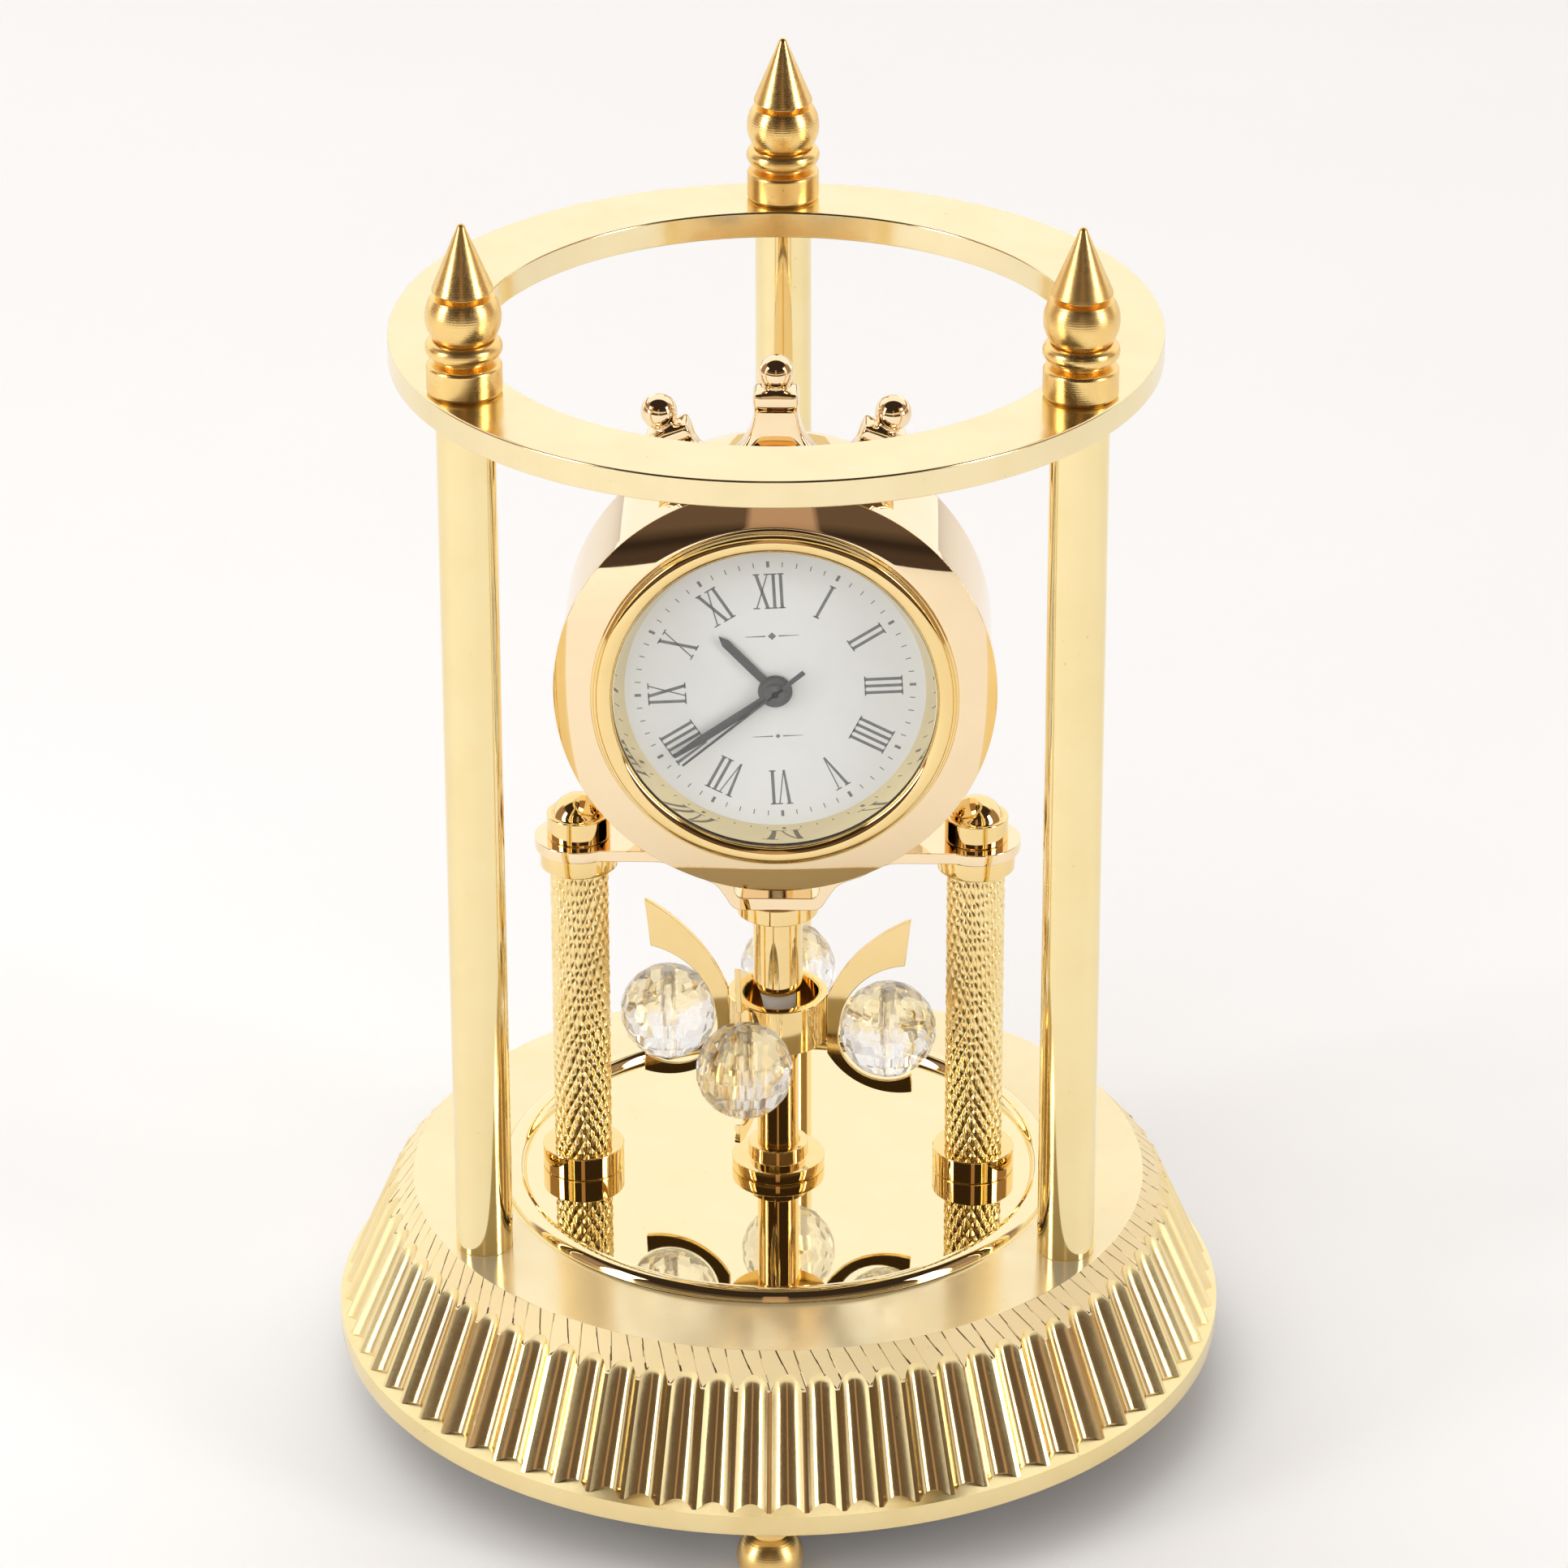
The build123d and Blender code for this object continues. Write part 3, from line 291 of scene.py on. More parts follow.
def gold(name, colour, deep, rough=0.07, rough_spread=0.06, grain=0.0, rings=0.0, pitch=0.16,
         speckle=0.3, dent=0.02, metallic=1.0):
    """Gold plate: cloudy tone, wiped roughness, fine specks, hairlines and, if turned, tool rings."""
    material, nodes, links, shader = new_material(name)
    shader.inputs["Metallic"].default_value = metallic
    shader.inputs["Specular IOR Level"].default_value = 0.5
    place_node = nodes.new("ShaderNodeTexCoord")
    cloud = add_node(nodes, "ShaderNodeTexNoise", Scale=140.0, Detail=4.0, Roughness=0.6)
    links.new(place_node.outputs["Object"], cloud.inputs["Vector"])
    fine = add_node(nodes, "ShaderNodeTexNoise", Scale=2600.0, Detail=3.0, Roughness=0.7)
    links.new(place_node.outputs["Object"], fine.inputs["Vector"])
    # hairline scratches: noise pulled long in a slanting direction
    stretch = nodes.new("ShaderNodeMapping")
    stretch.inputs["Rotation"].default_value = (0.4, 0.7, 0.5)
    stretch.inputs["Scale"].default_value = (160.0, 3800.0, 900.0)
    links.new(place_node.outputs["Object"], stretch.inputs["Vector"])
    hair = add_node(nodes, "ShaderNodeTexNoise", Scale=1.0, Detail=2.0, Roughness=0.5)
    links.new(stretch.outputs["Vector"], hair.inputs["Vector"])

    mix = nodes.new("ShaderNodeMix")
    mix.data_type = "RGBA"
    mix.inputs["A"].default_value = (*colour, 1)
    mix.inputs["B"].default_value = (*deep, 1)
    links.new(ramp(nodes, links, cloud.outputs["Fac"], 0.0, 1.0, 0.38, 0.72), mix.inputs["Factor"])
    # tiny dark specks of tarnish
    cells = add_node(nodes, "ShaderNodeTexVoronoi", Scale=620.0)
    links.new(place_node.outputs["Object"], cells.inputs["Vector"])
    dots = ramp(nodes, links, cells.outputs["Distance"], speckle, 0.0, 0.04, 0.11)
    gate = ramp(nodes, links, cloud.outputs["Fac"], 0.0, 1.0, 0.5, 0.62)
    both = add_node(nodes, "ShaderNodeMath", operation="MULTIPLY")
    links.new(dots, both.inputs[0])
    links.new(gate, both.inputs[1])
    tarnish = nodes.new("ShaderNodeMix")
    tarnish.data_type = "RGBA"
    tarnish.inputs["B"].default_value = (deep[0] * 0.45, deep[1] * 0.4, deep[2] * 0.4, 1)
    links.new(both.outputs[0], tarnish.inputs["Factor"])
    links.new(mix.outputs["Result"], tarnish.inputs["A"])
    links.new(tarnish.outputs["Result"], shader.inputs["Base Color"])

    rough_sum = add_node(nodes, "ShaderNodeMath", operation="ADD")
    wiped = ramp(nodes, links, cloud.outputs["Fac"], rough, rough + rough_spread, 0.35, 0.75)
    links.new(wiped, rough_sum.inputs[0])
    grainy = ramp(nodes, links, fine.outputs["Fac"], 0.0, rough_spread * 0.6, 0.45, 0.8)
    links.new(grainy, rough_sum.inputs[1])
    links.new(rough_sum.outputs[0], shader.inputs["Roughness"])

    height = add_node(nodes, "ShaderNodeMath", operation="ADD")
    links.new(ramp(nodes, links, hair.outputs["Fac"], 0.0, dent, 0.3, 0.7), height.inputs[0])
    links.new(ramp(nodes, links, fine.outputs["Fac"], 0.0, grain, 0.3, 0.7), height.inputs[1])
    last = height.outputs[0]
    if rings > 0:
        split = nodes.new("ShaderNodeSeparateXYZ")
        links.new(place_node.outputs["Object"], split.inputs[0])
        turns = add_node(nodes, "ShaderNodeMath", operation="MULTIPLY")
        turns.inputs[1].default_value = 2 * pi / (pitch * MM)
        links.new(split.outputs["Z"], turns.inputs[0])
        wave = add_node(nodes, "ShaderNodeMath", operation="SINE")
        links.new(turns.outputs[0], wave.inputs[0])
        ring_height = add_node(nodes, "ShaderNodeMath", operation="MULTIPLY_ADD")
        ring_height.inputs[1].default_value = rings
        links.new(wave.outputs[0], ring_height.inputs[0])
        links.new(last, ring_height.inputs[2])
        last = ring_height.outputs[0]
    bump = nodes.new("ShaderNodeBump")
    bump.inputs["Strength"].default_value = 1.0
    bump.inputs["Distance"].default_value = 0.00006
    links.new(last, bump.inputs["Height"])
    links.new(bump.outputs["Normal"], shader.inputs["Normal"])
    return material


PLAIN_SPREAD = 0.08


def plain(name, colour, second, rough, metallic=0.0, scale=900.0, bump_height=0.02):
    """A painted, moulded or plated surface with cloudy tone and a fine texture."""
    material, nodes, links, shader = new_material(name)
    shader.inputs["Metallic"].default_value = metallic
    place_node = nodes.new("ShaderNodeTexCoord")
    cloud = add_node(nodes, "ShaderNodeTexNoise", Scale=scale * 0.2, Detail=4.0, Roughness=0.6)
    links.new(place_node.outputs["Object"], cloud.inputs["Vector"])
    fine = add_node(nodes, "ShaderNodeTexNoise", Scale=scale * 3, Detail=3.0, Roughness=0.6)
    links.new(place_node.outputs["Object"], fine.inputs["Vector"])
    mix = nodes.new("ShaderNodeMix")
    mix.data_type = "RGBA"
    mix.inputs["A"].default_value = (*colour, 1)
    mix.inputs["B"].default_value = (*second, 1)
    links.new(ramp(nodes, links, cloud.outputs["Fac"], 0.0, 1.0, 0.35, 0.7), mix.inputs["Factor"])
    links.new(mix.outputs["Result"], shader.inputs["Base Color"])
    uneven = ramp(nodes, links, cloud.outputs["Fac"], rough, rough + PLAIN_SPREAD, 0.3, 0.7)
    links.new(uneven, shader.inputs["Roughness"])
    bump = nodes.new("ShaderNodeBump")
    bump.inputs["Strength"].default_value = 1.0
    bump.inputs["Distance"].default_value = 0.0001
    links.new(ramp(nodes, links, fine.outputs["Fac"], 0.0, bump_height, 0.3, 0.7), bump.inputs["Height"])
    links.new(bump.outputs["Normal"], shader.inputs["Normal"])
    return material


def clear_glass(name, ior, rough, tint=(1.0, 1.0, 1.0), smudge=0.02, alpha=1.0):
    """Glass that lets lamplight through to what is behind it, with faint smudges."""
    material, nodes, links, shader = new_material(name)
    shader.inputs["Base Color"].default_value = (*tint, 1)
    shader.inputs["Transmission Weight"].default_value = 1.0
    shader.inputs["IOR"].default_value = ior
    shader.inputs["Alpha"].default_value = alpha
    place_node = nodes.new("ShaderNodeTexCoord")
    cloud = add_node(nodes, "ShaderNodeTexNoise", Scale=260.0, Detail=5.0, Roughness=0.65)
    links.new(place_node.outputs["Object"], cloud.inputs["Vector"])
    smudged = ramp(nodes, links, cloud.outputs["Fac"], rough, rough + smudge, 0.5, 0.8)
    links.new(smudged, shader.inputs["Roughness"])
    output = nodes["Material Output"]
    path = nodes.new("ShaderNodeLightPath")
    window = nodes.new("ShaderNodeBsdfTransparent")
    window.inputs["Color"].default_value = (*tint, 1)
    mix = nodes.new("ShaderNodeMixShader")
    links.new(path.outputs["Is Shadow Ray"], mix.inputs[0])
    links.new(shader.outputs[0], mix.inputs[1])
    links.new(window.outputs[0], mix.inputs[2])
    links.new(mix.outputs[0], output.inputs["Surface"])
    return material


FLUTED = gold("fluted_gold", (0.94, 0.77, 0.41), (0.88, 0.70, 0.34), rough=0.13, rough_spread=0.07,
              grain=0.012, speckle=0.55, dent=0.003)
HATCHED = gold("hatched_gold", (0.90, 0.74, 0.42), (0.87, 0.70, 0.38), rough=0.40, rough_spread=0.08,
               grain=0.02, speckle=0.3, dent=0.01, metallic=0.25)
# painted shade: the faces along the engraved lines of the hatching are coloured dark brown to stand in for
# the shade inside the cuts
SHADED_GROOVE = gold("groove_painted_shade", (0.30, 0.19, 0.08), (0.22, 0.13, 0.05), rough=0.4)
MIRROR = gold("mirror_gold", (0.92, 0.79, 0.49), (0.90, 0.76, 0.45), rough=0.012, rough_spread=0.02,
              speckle=0.2, dent=0.0012)
LEDGE = gold("ledge_gold", (0.93, 0.80, 0.50), (0.91, 0.76, 0.45), rough=0.13, rough_spread=0.08,
             grain=0.004, speckle=0.3, dent=0.003, metallic=0.6)
POLISHED = gold("polished_gold", (0.93, 0.71, 0.34), (0.89, 0.66, 0.29), rough=0.035, rough_spread=0.03,
                speckle=0.2, dent=0.003)
SATIN = gold("satin_gold", (0.92, 0.79, 0.49), (0.89, 0.75, 0.44), rough=0.13, rough_spread=0.06,
             grain=0.006, speckle=0.25, dent=0.005)
POST = gold("post_gold", (0.93, 0.78, 0.43), (0.90, 0.74, 0.38), rough=0.07, rough_spread=0.05,
            grain=0.004, speckle=0.35, dent=0.003)
TURNED = gold("turned_gold", (0.95, 0.68, 0.27), (0.88, 0.58, 0.20), rough=0.24, rough_spread=0.12,
              grain=0.02, rings=0.05, pitch=0.24, speckle=0.5, dent=0.006)
WARM = gold("warm_gold", (0.95, 0.77, 0.51), (0.93, 0.74, 0.47), rough=0.012, rough_spread=0.015, speckle=0.1,
            dent=0.001)
KNURLED = gold("knurled_gold", (0.97, 0.80, 0.42), (0.93, 0.72, 0.33), rough=0.15, rough_spread=0.08,
               grain=0.01, dent=0.003)
STEEL = plain("plated_steel", (0.62, 0.62, 0.63), (0.50, 0.50, 0.52), 0.28, metallic=1.0, bump_height=0.05)
BLACK_BOARD = plain("black_board", (0.028, 0.028, 0.03), (0.045, 0.044, 0.043), 0.55, bump_height=0.3)
DIAL = plain("dial_paint", (0.86, 0.86, 0.86), (0.84, 0.835, 0.83), 0.45, bump_height=0.015)
PRINT = plain("dial_print", (0.16, 0.16, 0.165), (0.22, 0.215, 0.21), 0.6, scale=4000.0)
HAND = plain("hand_lacquer", (0.055, 0.055, 0.06), (0.085, 0.083, 0.08), 0.35, scale=2500.0)
RUBBER = plain("gasket_rubber", (0.55, 0.55, 0.52), (0.47, 0.47, 0.45), 0.6, bump_height=0.2)
CASE = plain("case_plating", (0.70, 0.69, 0.66), (0.62, 0.61, 0.58), 0.2, metallic=1.0, bump_height=0.03)
MOULDED = plain("moulded_grey", (0.50, 0.50, 0.48), (0.44, 0.44, 0.43), 0.5, bump_height=0.2)
ACETAL = plain("acetal", (0.78, 0.76, 0.69), (0.70, 0.68, 0.62), 0.42, bump_height=0.1)
COPPER = plain("enamelled_copper", (0.72, 0.30, 0.13), (0.60, 0.22, 0.09), 0.3, metallic=1.0, bump_height=0.3)
NYLON = plain("nylon", (0.80, 0.80, 0.77), (0.72, 0.72, 0.70), 0.4, bump_height=0.1)
CRYSTAL = clear_glass("cut_crystal", 1.5, 0.0, smudge=0.004, alpha=0.72)
LENS = clear_glass("lens_glass", 1.45, 0.0, tint=(0.99, 1.0, 0.99), smudge=0.01)

BY_SLOT = {
    "fluted_gold": FLUTED, "polished_gold": POLISHED, "satin_gold": SATIN, "warm_gold": WARM,
    "knurled_gold": KNURLED, "hardware_steel": STEEL, "cover_board": BLACK_BOARD, "crystal": CRYSTAL,
    "lens_glass": LENS, "dial_white": DIAL, "hand_black": HAND, "gasket_rubber": RUBBER,
    "movement_plastic": MOULDED, "wheel_plastic": ACETAL, "coil_copper": COPPER, "battery_steel": CASE,
    "nylon_bush": NYLON,
}
slot_of = {part["node"]: part["material_slot"] for part in frame["record"]["subparts"]}
for node, obj in NODES.items():
    obj.data.materials.clear()
    obj.data.materials.append(BY_SLOT[slot_of[node]])

# ------------------------------------------------------------------ base
FLUTES = 76
FLUTE_SHARE = 0.88  # of the pitch; the rest is the flat land of a ridge
FLUTE_COLUMNS = 16
LIP_R, LIP_LOW, LIP_HIGH = 46.75, 7.7, 9.94
LIP_INNER = 44.55
LEDGE_SLOPE = 0.359
RIDGE_R, RIDGE_Z = 46.3, 10.1
CONE_LOW_R, CONE_LOW_Z, CONE_HIGH_Z = 41.35, 21.6, 24.7
TOP_R = 38.6
FLANK_SLOPE = (RIDGE_R - CONE_LOW_R) / (CONE_LOW_Z - RIDGE_Z)
CONE_SLOPE = (CONE_LOW_R - TOP_R) / (CONE_HIGH_Z - CONE_LOW_Z)
ARCH_LOW = 21.0
HATCH_LINES, HATCH_SLANT, HATCH_TOP = 140, radians(1.75), BASE_TOP - 0.02
HATCH_CUTS = ((0.0, 0.07), (0.035, 0.0), (0.065, 0.0), (0.3, 0.0), (0.5, 0.0), (0.7, 0.0), (0.935, 0.0),
              (0.965, 0.0))
BEAD_R, BEAD_HALF = 28.0, 1.15
# flute depth at rising heights
DEPTH_STATIONS = ((9.5, 0.95), (20.5, 0.93), (21.4, 0.90), (22.0, 0.84), (22.5, 0.73), (22.9, 0.56),
                  (23.2, 0.36), (23.5, 0.17), (24.7, 0.09))


def flute_depth(z):
    for (z0, d0), (z1, d1) in zip(DEPTH_STATIONS, DEPTH_STATIONS[1:]):
        if z <= z1:
            return d0 + (d1 - d0) * (z - z0) / (z1 - z0)
    return DEPTH_STATIONS[-1][1]


def flank_radius(z, fullness):
    return RIDGE_R - FLANK_SLOPE * (z - RIDGE_Z) - flute_depth(z) * fullness


def cone_radius(z):
    return TOP_R + CONE_SLOPE * (BASE_TOP - z)


def fullness_at(angle):
    """0 on a ridge, 1 in the middle of a flute."""
    t = ((angle + pi / 2) / (2 * pi / FLUTES)) % 1.0
    return max(0.0, 1.0 - ((2 * t - 1) / FLUTE_SHARE) ** 2)


def arch_height(fullness):
    """Where the fluted flank runs out into the hatched cone."""
    low, high = ARCH_LOW, BASE_TOP
    for _ in range(30):
        mid = (low + high) / 2
        if flank_radius(mid, fullness) < cone_radius(mid):
            low = mid
        else:
            high = mid
    return low


def scallop_height(fullness):
    """Where the foot of a flute meets the sloping ledge above the lip."""
    u = 0.0
    for _ in range(12):
        u = LEDGE_SLOPE * (RIDGE_R - flank_radius(RIDGE_Z + u, fullness))
    return RIDGE_Z + u


def base_mesh():
    verts, faces = [], []
    columns = FLUTES * FLUTE_COLUMNS
    flank_rows = 30
    rows = []
    arches = [arch_height(fullness_at(-pi / 2 + 2 * pi * k / columns)) for k in range(columns)]
    lip = [(LIP_INNER, 9.2), (LIP_INNER, LIP_LOW), (LIP_R, LIP_LOW), (LIP_R, 9.0)]
    lip = soften(lip, 0.16, 3, closed=False)
    lip += [(LIP_R, LIP_HIGH)]
    for r, z in lip:
        rows.append([(r, z)] * columns)
    for share in (0.5, 1.0):
        row = []
        for k in range(columns):
            full = fullness_at(-pi / 2 + 2 * pi * k / columns)
            z1 = scallop_height(full)
            r1 = flank_radius(z1, full)
            r0, z0 = LIP_R, LIP_HIGH
            row.append((r0 + (r1 - r0) * share, z0 + (z1 - z0) * share))
        rows.append(row)
    for j in range(1, flank_rows + 1):
        share = j / flank_rows
        row = []
        for k in range(columns):
            full = fullness_at(-pi / 2 + 2 * pi * k / columns)
            z0, z1 = scallop_height(full), arches[k]
            z = z0 + (z1 - z0) * (1 - (1 - share) ** 1.5)
            row.append((flank_radius(z, full), z))
        rows.append(row)
    for row in rows:
        for k, (r, z) in enumerate(row):
            a = -pi / 2 + 2 * pi * k / columns
            verts.append((r * cos(a), r * sin(a), z))
    for j in range(len(rows) - 1):
        for k in range(columns):
            m = (k + 1) % columns
            faces.append([j * columns + k, j * columns + m, (j + 1) * columns + m, (j + 1) * columns + k])
    # hatched band: slanting columns from the arches up to the rim, with a cut along every line
    band_rows = 5
    first = len(verts)
    band_columns = HATCH_LINES * len(HATCH_CUTS)
    for j in range(band_rows + 1):
        share = j / band_rows
        for line in range(HATCH_LINES):
            for offset, cut in HATCH_CUTS:
                bottom = -pi / 2 + 2 * pi * (line + offset) / HATCH_LINES
                z0 = arch_height(fullness_at(bottom))
                z = z0 + (HATCH_TOP - z0) * share
                a = bottom - HATCH_SLANT * share
                r = cone_radius(z) - cut * 0.7
                verts.append((r * cos(a), r * sin(a), z - cut * 0.5))
    for j in range(band_rows):
        for k in range(band_columns):
            m = (k + 1) % band_columns
            low, high = first + j * band_columns, first + (j + 1) * band_columns
            faces.append([low + k, low + m, high + m, high + k])
    # polished top with its bead between two fine grooves, down to the spindle's hole
    bead = [(BEAD_R + BEAD_HALF * cos(radians(a)), BASE_TOP + BEAD_HALF * sin(radians(a)))
            for a in range(0, 181, 9)]
    top = [(TOP_R + 0.02, HATCH_TOP), (TOP_R - 0.06, BASE_TOP), (29.35, BASE_TOP), (29.25, BASE_TOP - 0.1)]
    top += [(29.17, BASE_TOP - 0.05)] + bead
    top += [(26.83, BASE_TOP - 0.05), (26.75, BASE_TOP - 0.1), (26.65, BASE_TOP)]
    top += [(13.0, BASE_TOP), (1.05, BASE_TOP)]
    top_verts, top_faces = lathe_data(top, 256, about_z(), closed=False)
    faces += [[i + len(verts) for i in face] for face in top_faces]
    verts += top_verts
    return verts, faces


base_verts, base_faces = base_mesh()
base = finish_mesh("base_look", base_verts, base_faces, smooth_angle=24.0)
place(base, FLUTED, "clock", "fluted_gold", "base_shell")
for material in (HATCHED, MIRROR, SHADED_GROOVE, LEDGE):
    base.data.materials.append(material)
HATCHED_INDEX, MIRROR_INDEX, SHADED_GROOVE_INDEX, LEDGE_INDEX = 1, 2, 3, 4
LEDGE_INNER = 29.3
for face in base.data.polygons:
    x, y, z = face.center / MM
    r = hypot(x, y)
    if z > BASE_TOP - 0.06:
        face.material_index = LEDGE_INDEX if r > LEDGE_INNER else MIRROR_INDEX
    elif z > ARCH_LOW and abs(r - cone_radius(z)) < 0.12:
        foot = arch_height(fullness_at(atan2(y, x)))
        angle = atan2(y, x) + HATCH_SLANT * (z - foot) / (HATCH_TOP - foot)
        line = ((angle + pi / 2) / (2 * pi) * HATCH_LINES) % 1.0
        # faces along each engraved line take the dark groove material: painted shade in the cuts
        face.material_index = SHADED_GROOVE_INDEX if min(line, 1 - line) < 0.036 else HATCHED_INDEX

# ball feet
for side in ("front", "left", "right"):
    low, high = low_high("foot_" + side)
    fx, fy = (low.x + high.x) / 2, (low.y + high.y) / 2
    profile = [(0.0, 0.0), (1.149, 0.0)] + arc(0.0, 3.2, 3.4, -70, 52, 22)[1:]
    profile += [(1.95, 6.0), (1.9, 6.3), (1.9, LIP_LOW), (0.0, LIP_LOW)]
    foot = lathe("foot_look_" + side, profile, 64, [about_z(fx, fy)], closed=False)
    place(foot, TURNED, "clock", "polished_gold", "foot_" + side)

# ------------------------------------------------------------------ cage
POST_R = 2.95
RING_INNER = 30.3
post_profile = soften(
    [(0.0, BASE_TOP), (POST_R, BASE_TOP), (POST_R, RING_LOW), (0.0, RING_LOW)], 0.12, 3, closed=False
)
# extra rings on the plain length, so that it shades evenly
post_profile = post_profile[:5] + [(POST_R, BASE_TOP + 30), (POST_R, BASE_TOP + 60)] + post_profile[5:]
ring_profile = soften(
    [(RING_INNER, RING_LOW), (RING_OUTER, RING_LOW), (RING_OUTER, RING_HIGH), (RING_INNER, RING_HIGH)],
    0.22, 4
)
ring = lathe("ring_look", ring_profile, 320)
place(ring, SATIN, "clock", "satin_gold", "top_ring")

F = RING_HIGH
finial_profile = soften(
    [(0.0, F), (3.75, F), (3.75, F + 3.1), (2.65, F + 3.35), (2.55, F + 3.75)], 0.45, 4, closed=False
)
finial_profile += arc(2.85, F + 4.75, 0.98, -75, 75, 10)
finial_profile += [(2.55, F + 5.75), (2.42, F + 5.95), (2.6, F + 6.15)]
finial_profile += arc(0.0, F + 8.0, 3.78, -33, 33, 18)
finial_profile += [(2.75, F + 10.2), (2.45, F + 10.35), (2.45, F + 10.5), (2.95, F + 10.6)]
finial_profile += [(3.05, F + 10.75), (3.0, F + 11.0)]
finial_profile += [(0.52, F + 16.95), (0.42, F + 17.3), (0.22, F + 17.53), (0.0, F + 17.6)]
for side in ("left", "right", "rear"):
    low, high = low_high("post_" + side)
    px, py = (low.x + high.x) / 2, (low.y + high.y) / 2
    post = lathe("post_look_" + side, post_profile, 96, [about_z(px, py)], closed=False)
    place(post, POST, "clock", "satin_gold", "post_" + side)
    finial = lathe("finial_look_" + side, finial_profile, 96, [about_z(px, py)], closed=False,
                   smooth_angle=40)
    place(finial, TURNED, "clock", "satin_gold", "finial_" + side)

# ------------------------------------------------------------------ pillars
PILLAR_X = (low_high("pillar_right")[0].x + low_high("pillar_right")[1].x) / 2
PILLAR_LOW, PILLAR_HIGH = (v.z for v in low_high("pillar_right"))
PILLAR_R, KNURL_DEPTH = 3.05, 0.25
PILLAR_HOLE, SPINDLE_HOLE = 1.3, 1.05
both_sides = [about_z(-PILLAR_X), about_z(PILLAR_X)]


def knurled_pillar(name, cx):
    """A pillar with a slightly irregular lattice of raised cells pressed into it."""
    around, up = 192, 250
    lobes = 9
    verts, faces = [], []
    for j in range(up + 1):
        z = PILLAR_LOW + (PILLAR_HIGH - PILLAR_LOW) * j / up
        for k in range(around):
            a = 2 * pi * k / around
            wobble = 0.16 * sin(3 * a + z * 0.9) + 0.14 * sin(4 * a - z * 1.6)
            p = lobes * a + z * 1.62 + wobble
            q = lobes * a - z * 1.38 - wobble
            cell = abs(sin(p)) ** 0.7 * abs(sin(q)) ** 0.7
            r = PILLAR_R - KNURL_DEPTH * (1 - cell)
            verts.append((cx + r * cos(a), r * sin(a), z))
    for j in range(up):
        for k in range(around):
            m = (k + 1) % around
            faces.append([j * around + k, j * around + m, (j + 1) * around + m, (j + 1) * around + k])
    faces.append(list(range(around))[::-1])
    faces.append([up * around + k for k in range(around)])
    return finish_mesh(name, verts, faces, 60.0, even=False)


for side, cx in (("left", -PILLAR_X), ("right", PILLAR_X)):
    place(knurled_pillar("pillar_look_" + side, cx), KNURLED, "clock", "knurled_gold", "pillar_" + side)

low_z = BASE_TOP
collar = soften([(PILLAR_HOLE, low_z), (4.3, low_z), (4.3, low_z + 2.6), (PILLAR_HOLE, low_z + 2.6)], 0.14)
place(lathe("lower_collar_look", collar, 96, both_sides), POLISHED, "clock", "polished_gold", "lower_collars")
z0, z1 = (v.z for v in low_high("upper_collars"))
collar = soften([(PILLAR_HOLE, z0), (4.05, z0), (4.05, z1), (PILLAR_HOLE, z1)], 0.14)
place(lathe("upper_collar_look", collar, 96, both_sides), POLISHED, "clock", "polished_gold", "upper_collars")
z0, z1 = (v.z for v in low_high("cap_nuts"))
DOME_FOOT_R, DOME_FOOT_Z = 2.75, 66.25
dome_r = (DOME_FOOT_R ** 2 + (z1 - DOME_FOOT_Z) ** 2) / (2 * (z1 - DOME_FOOT_Z))
dome_a = degrees(asin(DOME_FOOT_R / dome_r))
cap = soften([(0.0, z0), (3.3, z0), (3.3, DOME_FOOT_Z), (2.95, DOME_FOOT_Z), (2.8, DOME_FOOT_Z - 0.05)],
             0.18, 3, closed=False)
cap += arc(0.0, z1 - dome_r, dome_r, 90 - dome_a, 90, 16)
cap_nuts = lathe("cap_nut_look", cap, 96, both_sides, closed=False)
place(cap_nuts, POLISHED, "clock", "polished_gold", "cap_nuts")

# ------------------------------------------------------------------ bracket, column
place(refined("bracket_look", "bracket", 0.22), WARM, "clock", "warm_gold", "bracket")
z0 = BASE_TOP
flange = soften([(SPINDLE_HOLE, z0), (4.9, z0), (4.9, z0 + 1.4), (3.15, z0 + 1.4), (3.15, z0 + 3.0),
                 (SPINDLE_HOLE, z0 + 3.0)], 0.14)
place(lathe("column_flange_look", flange, 96), POLISHED, "clock", "polished_gold", "column_flange")
for node, radius in (("lower_tube", 2.2), ("upper_tube", 2.58), ("column_collar", 4.3)):
    z0, z1 = (v.z for v in low_high(node))
    tube = soften([(SPINDLE_HOLE, z0), (radius, z0), (radius, z1), (SPINDLE_HOLE, z1)], 0.1)
    place(lathe(node + "_look", tube, 72), POLISHED, "clock", "polished_gold", node)

# ------------------------------------------------------------------ pendulum
z0, z1 = (v.z for v in low_high("pendulum_hub"))
hub = soften([(1.95, z0), (5.25, z0), (5.25, z1), (4.25, z1), (4.25, z0 + 1.2), (1.95, z0 + 1.2)], 0.12)
place(lathe("hub_look", hub, 96), POLISHED, "pendulum", "polished_gold", "pendulum_hub")
for side in ("front", "right", "rear", "left"):
    crescent = refined("crescent_look_" + side, "crescent_" + side, 0.09, 2)
    place(crescent, POLISHED, "pendulum", "polished_gold", "crescent_" + side)


CRYSTAL_R, BORE_R = 5.1, 0.7


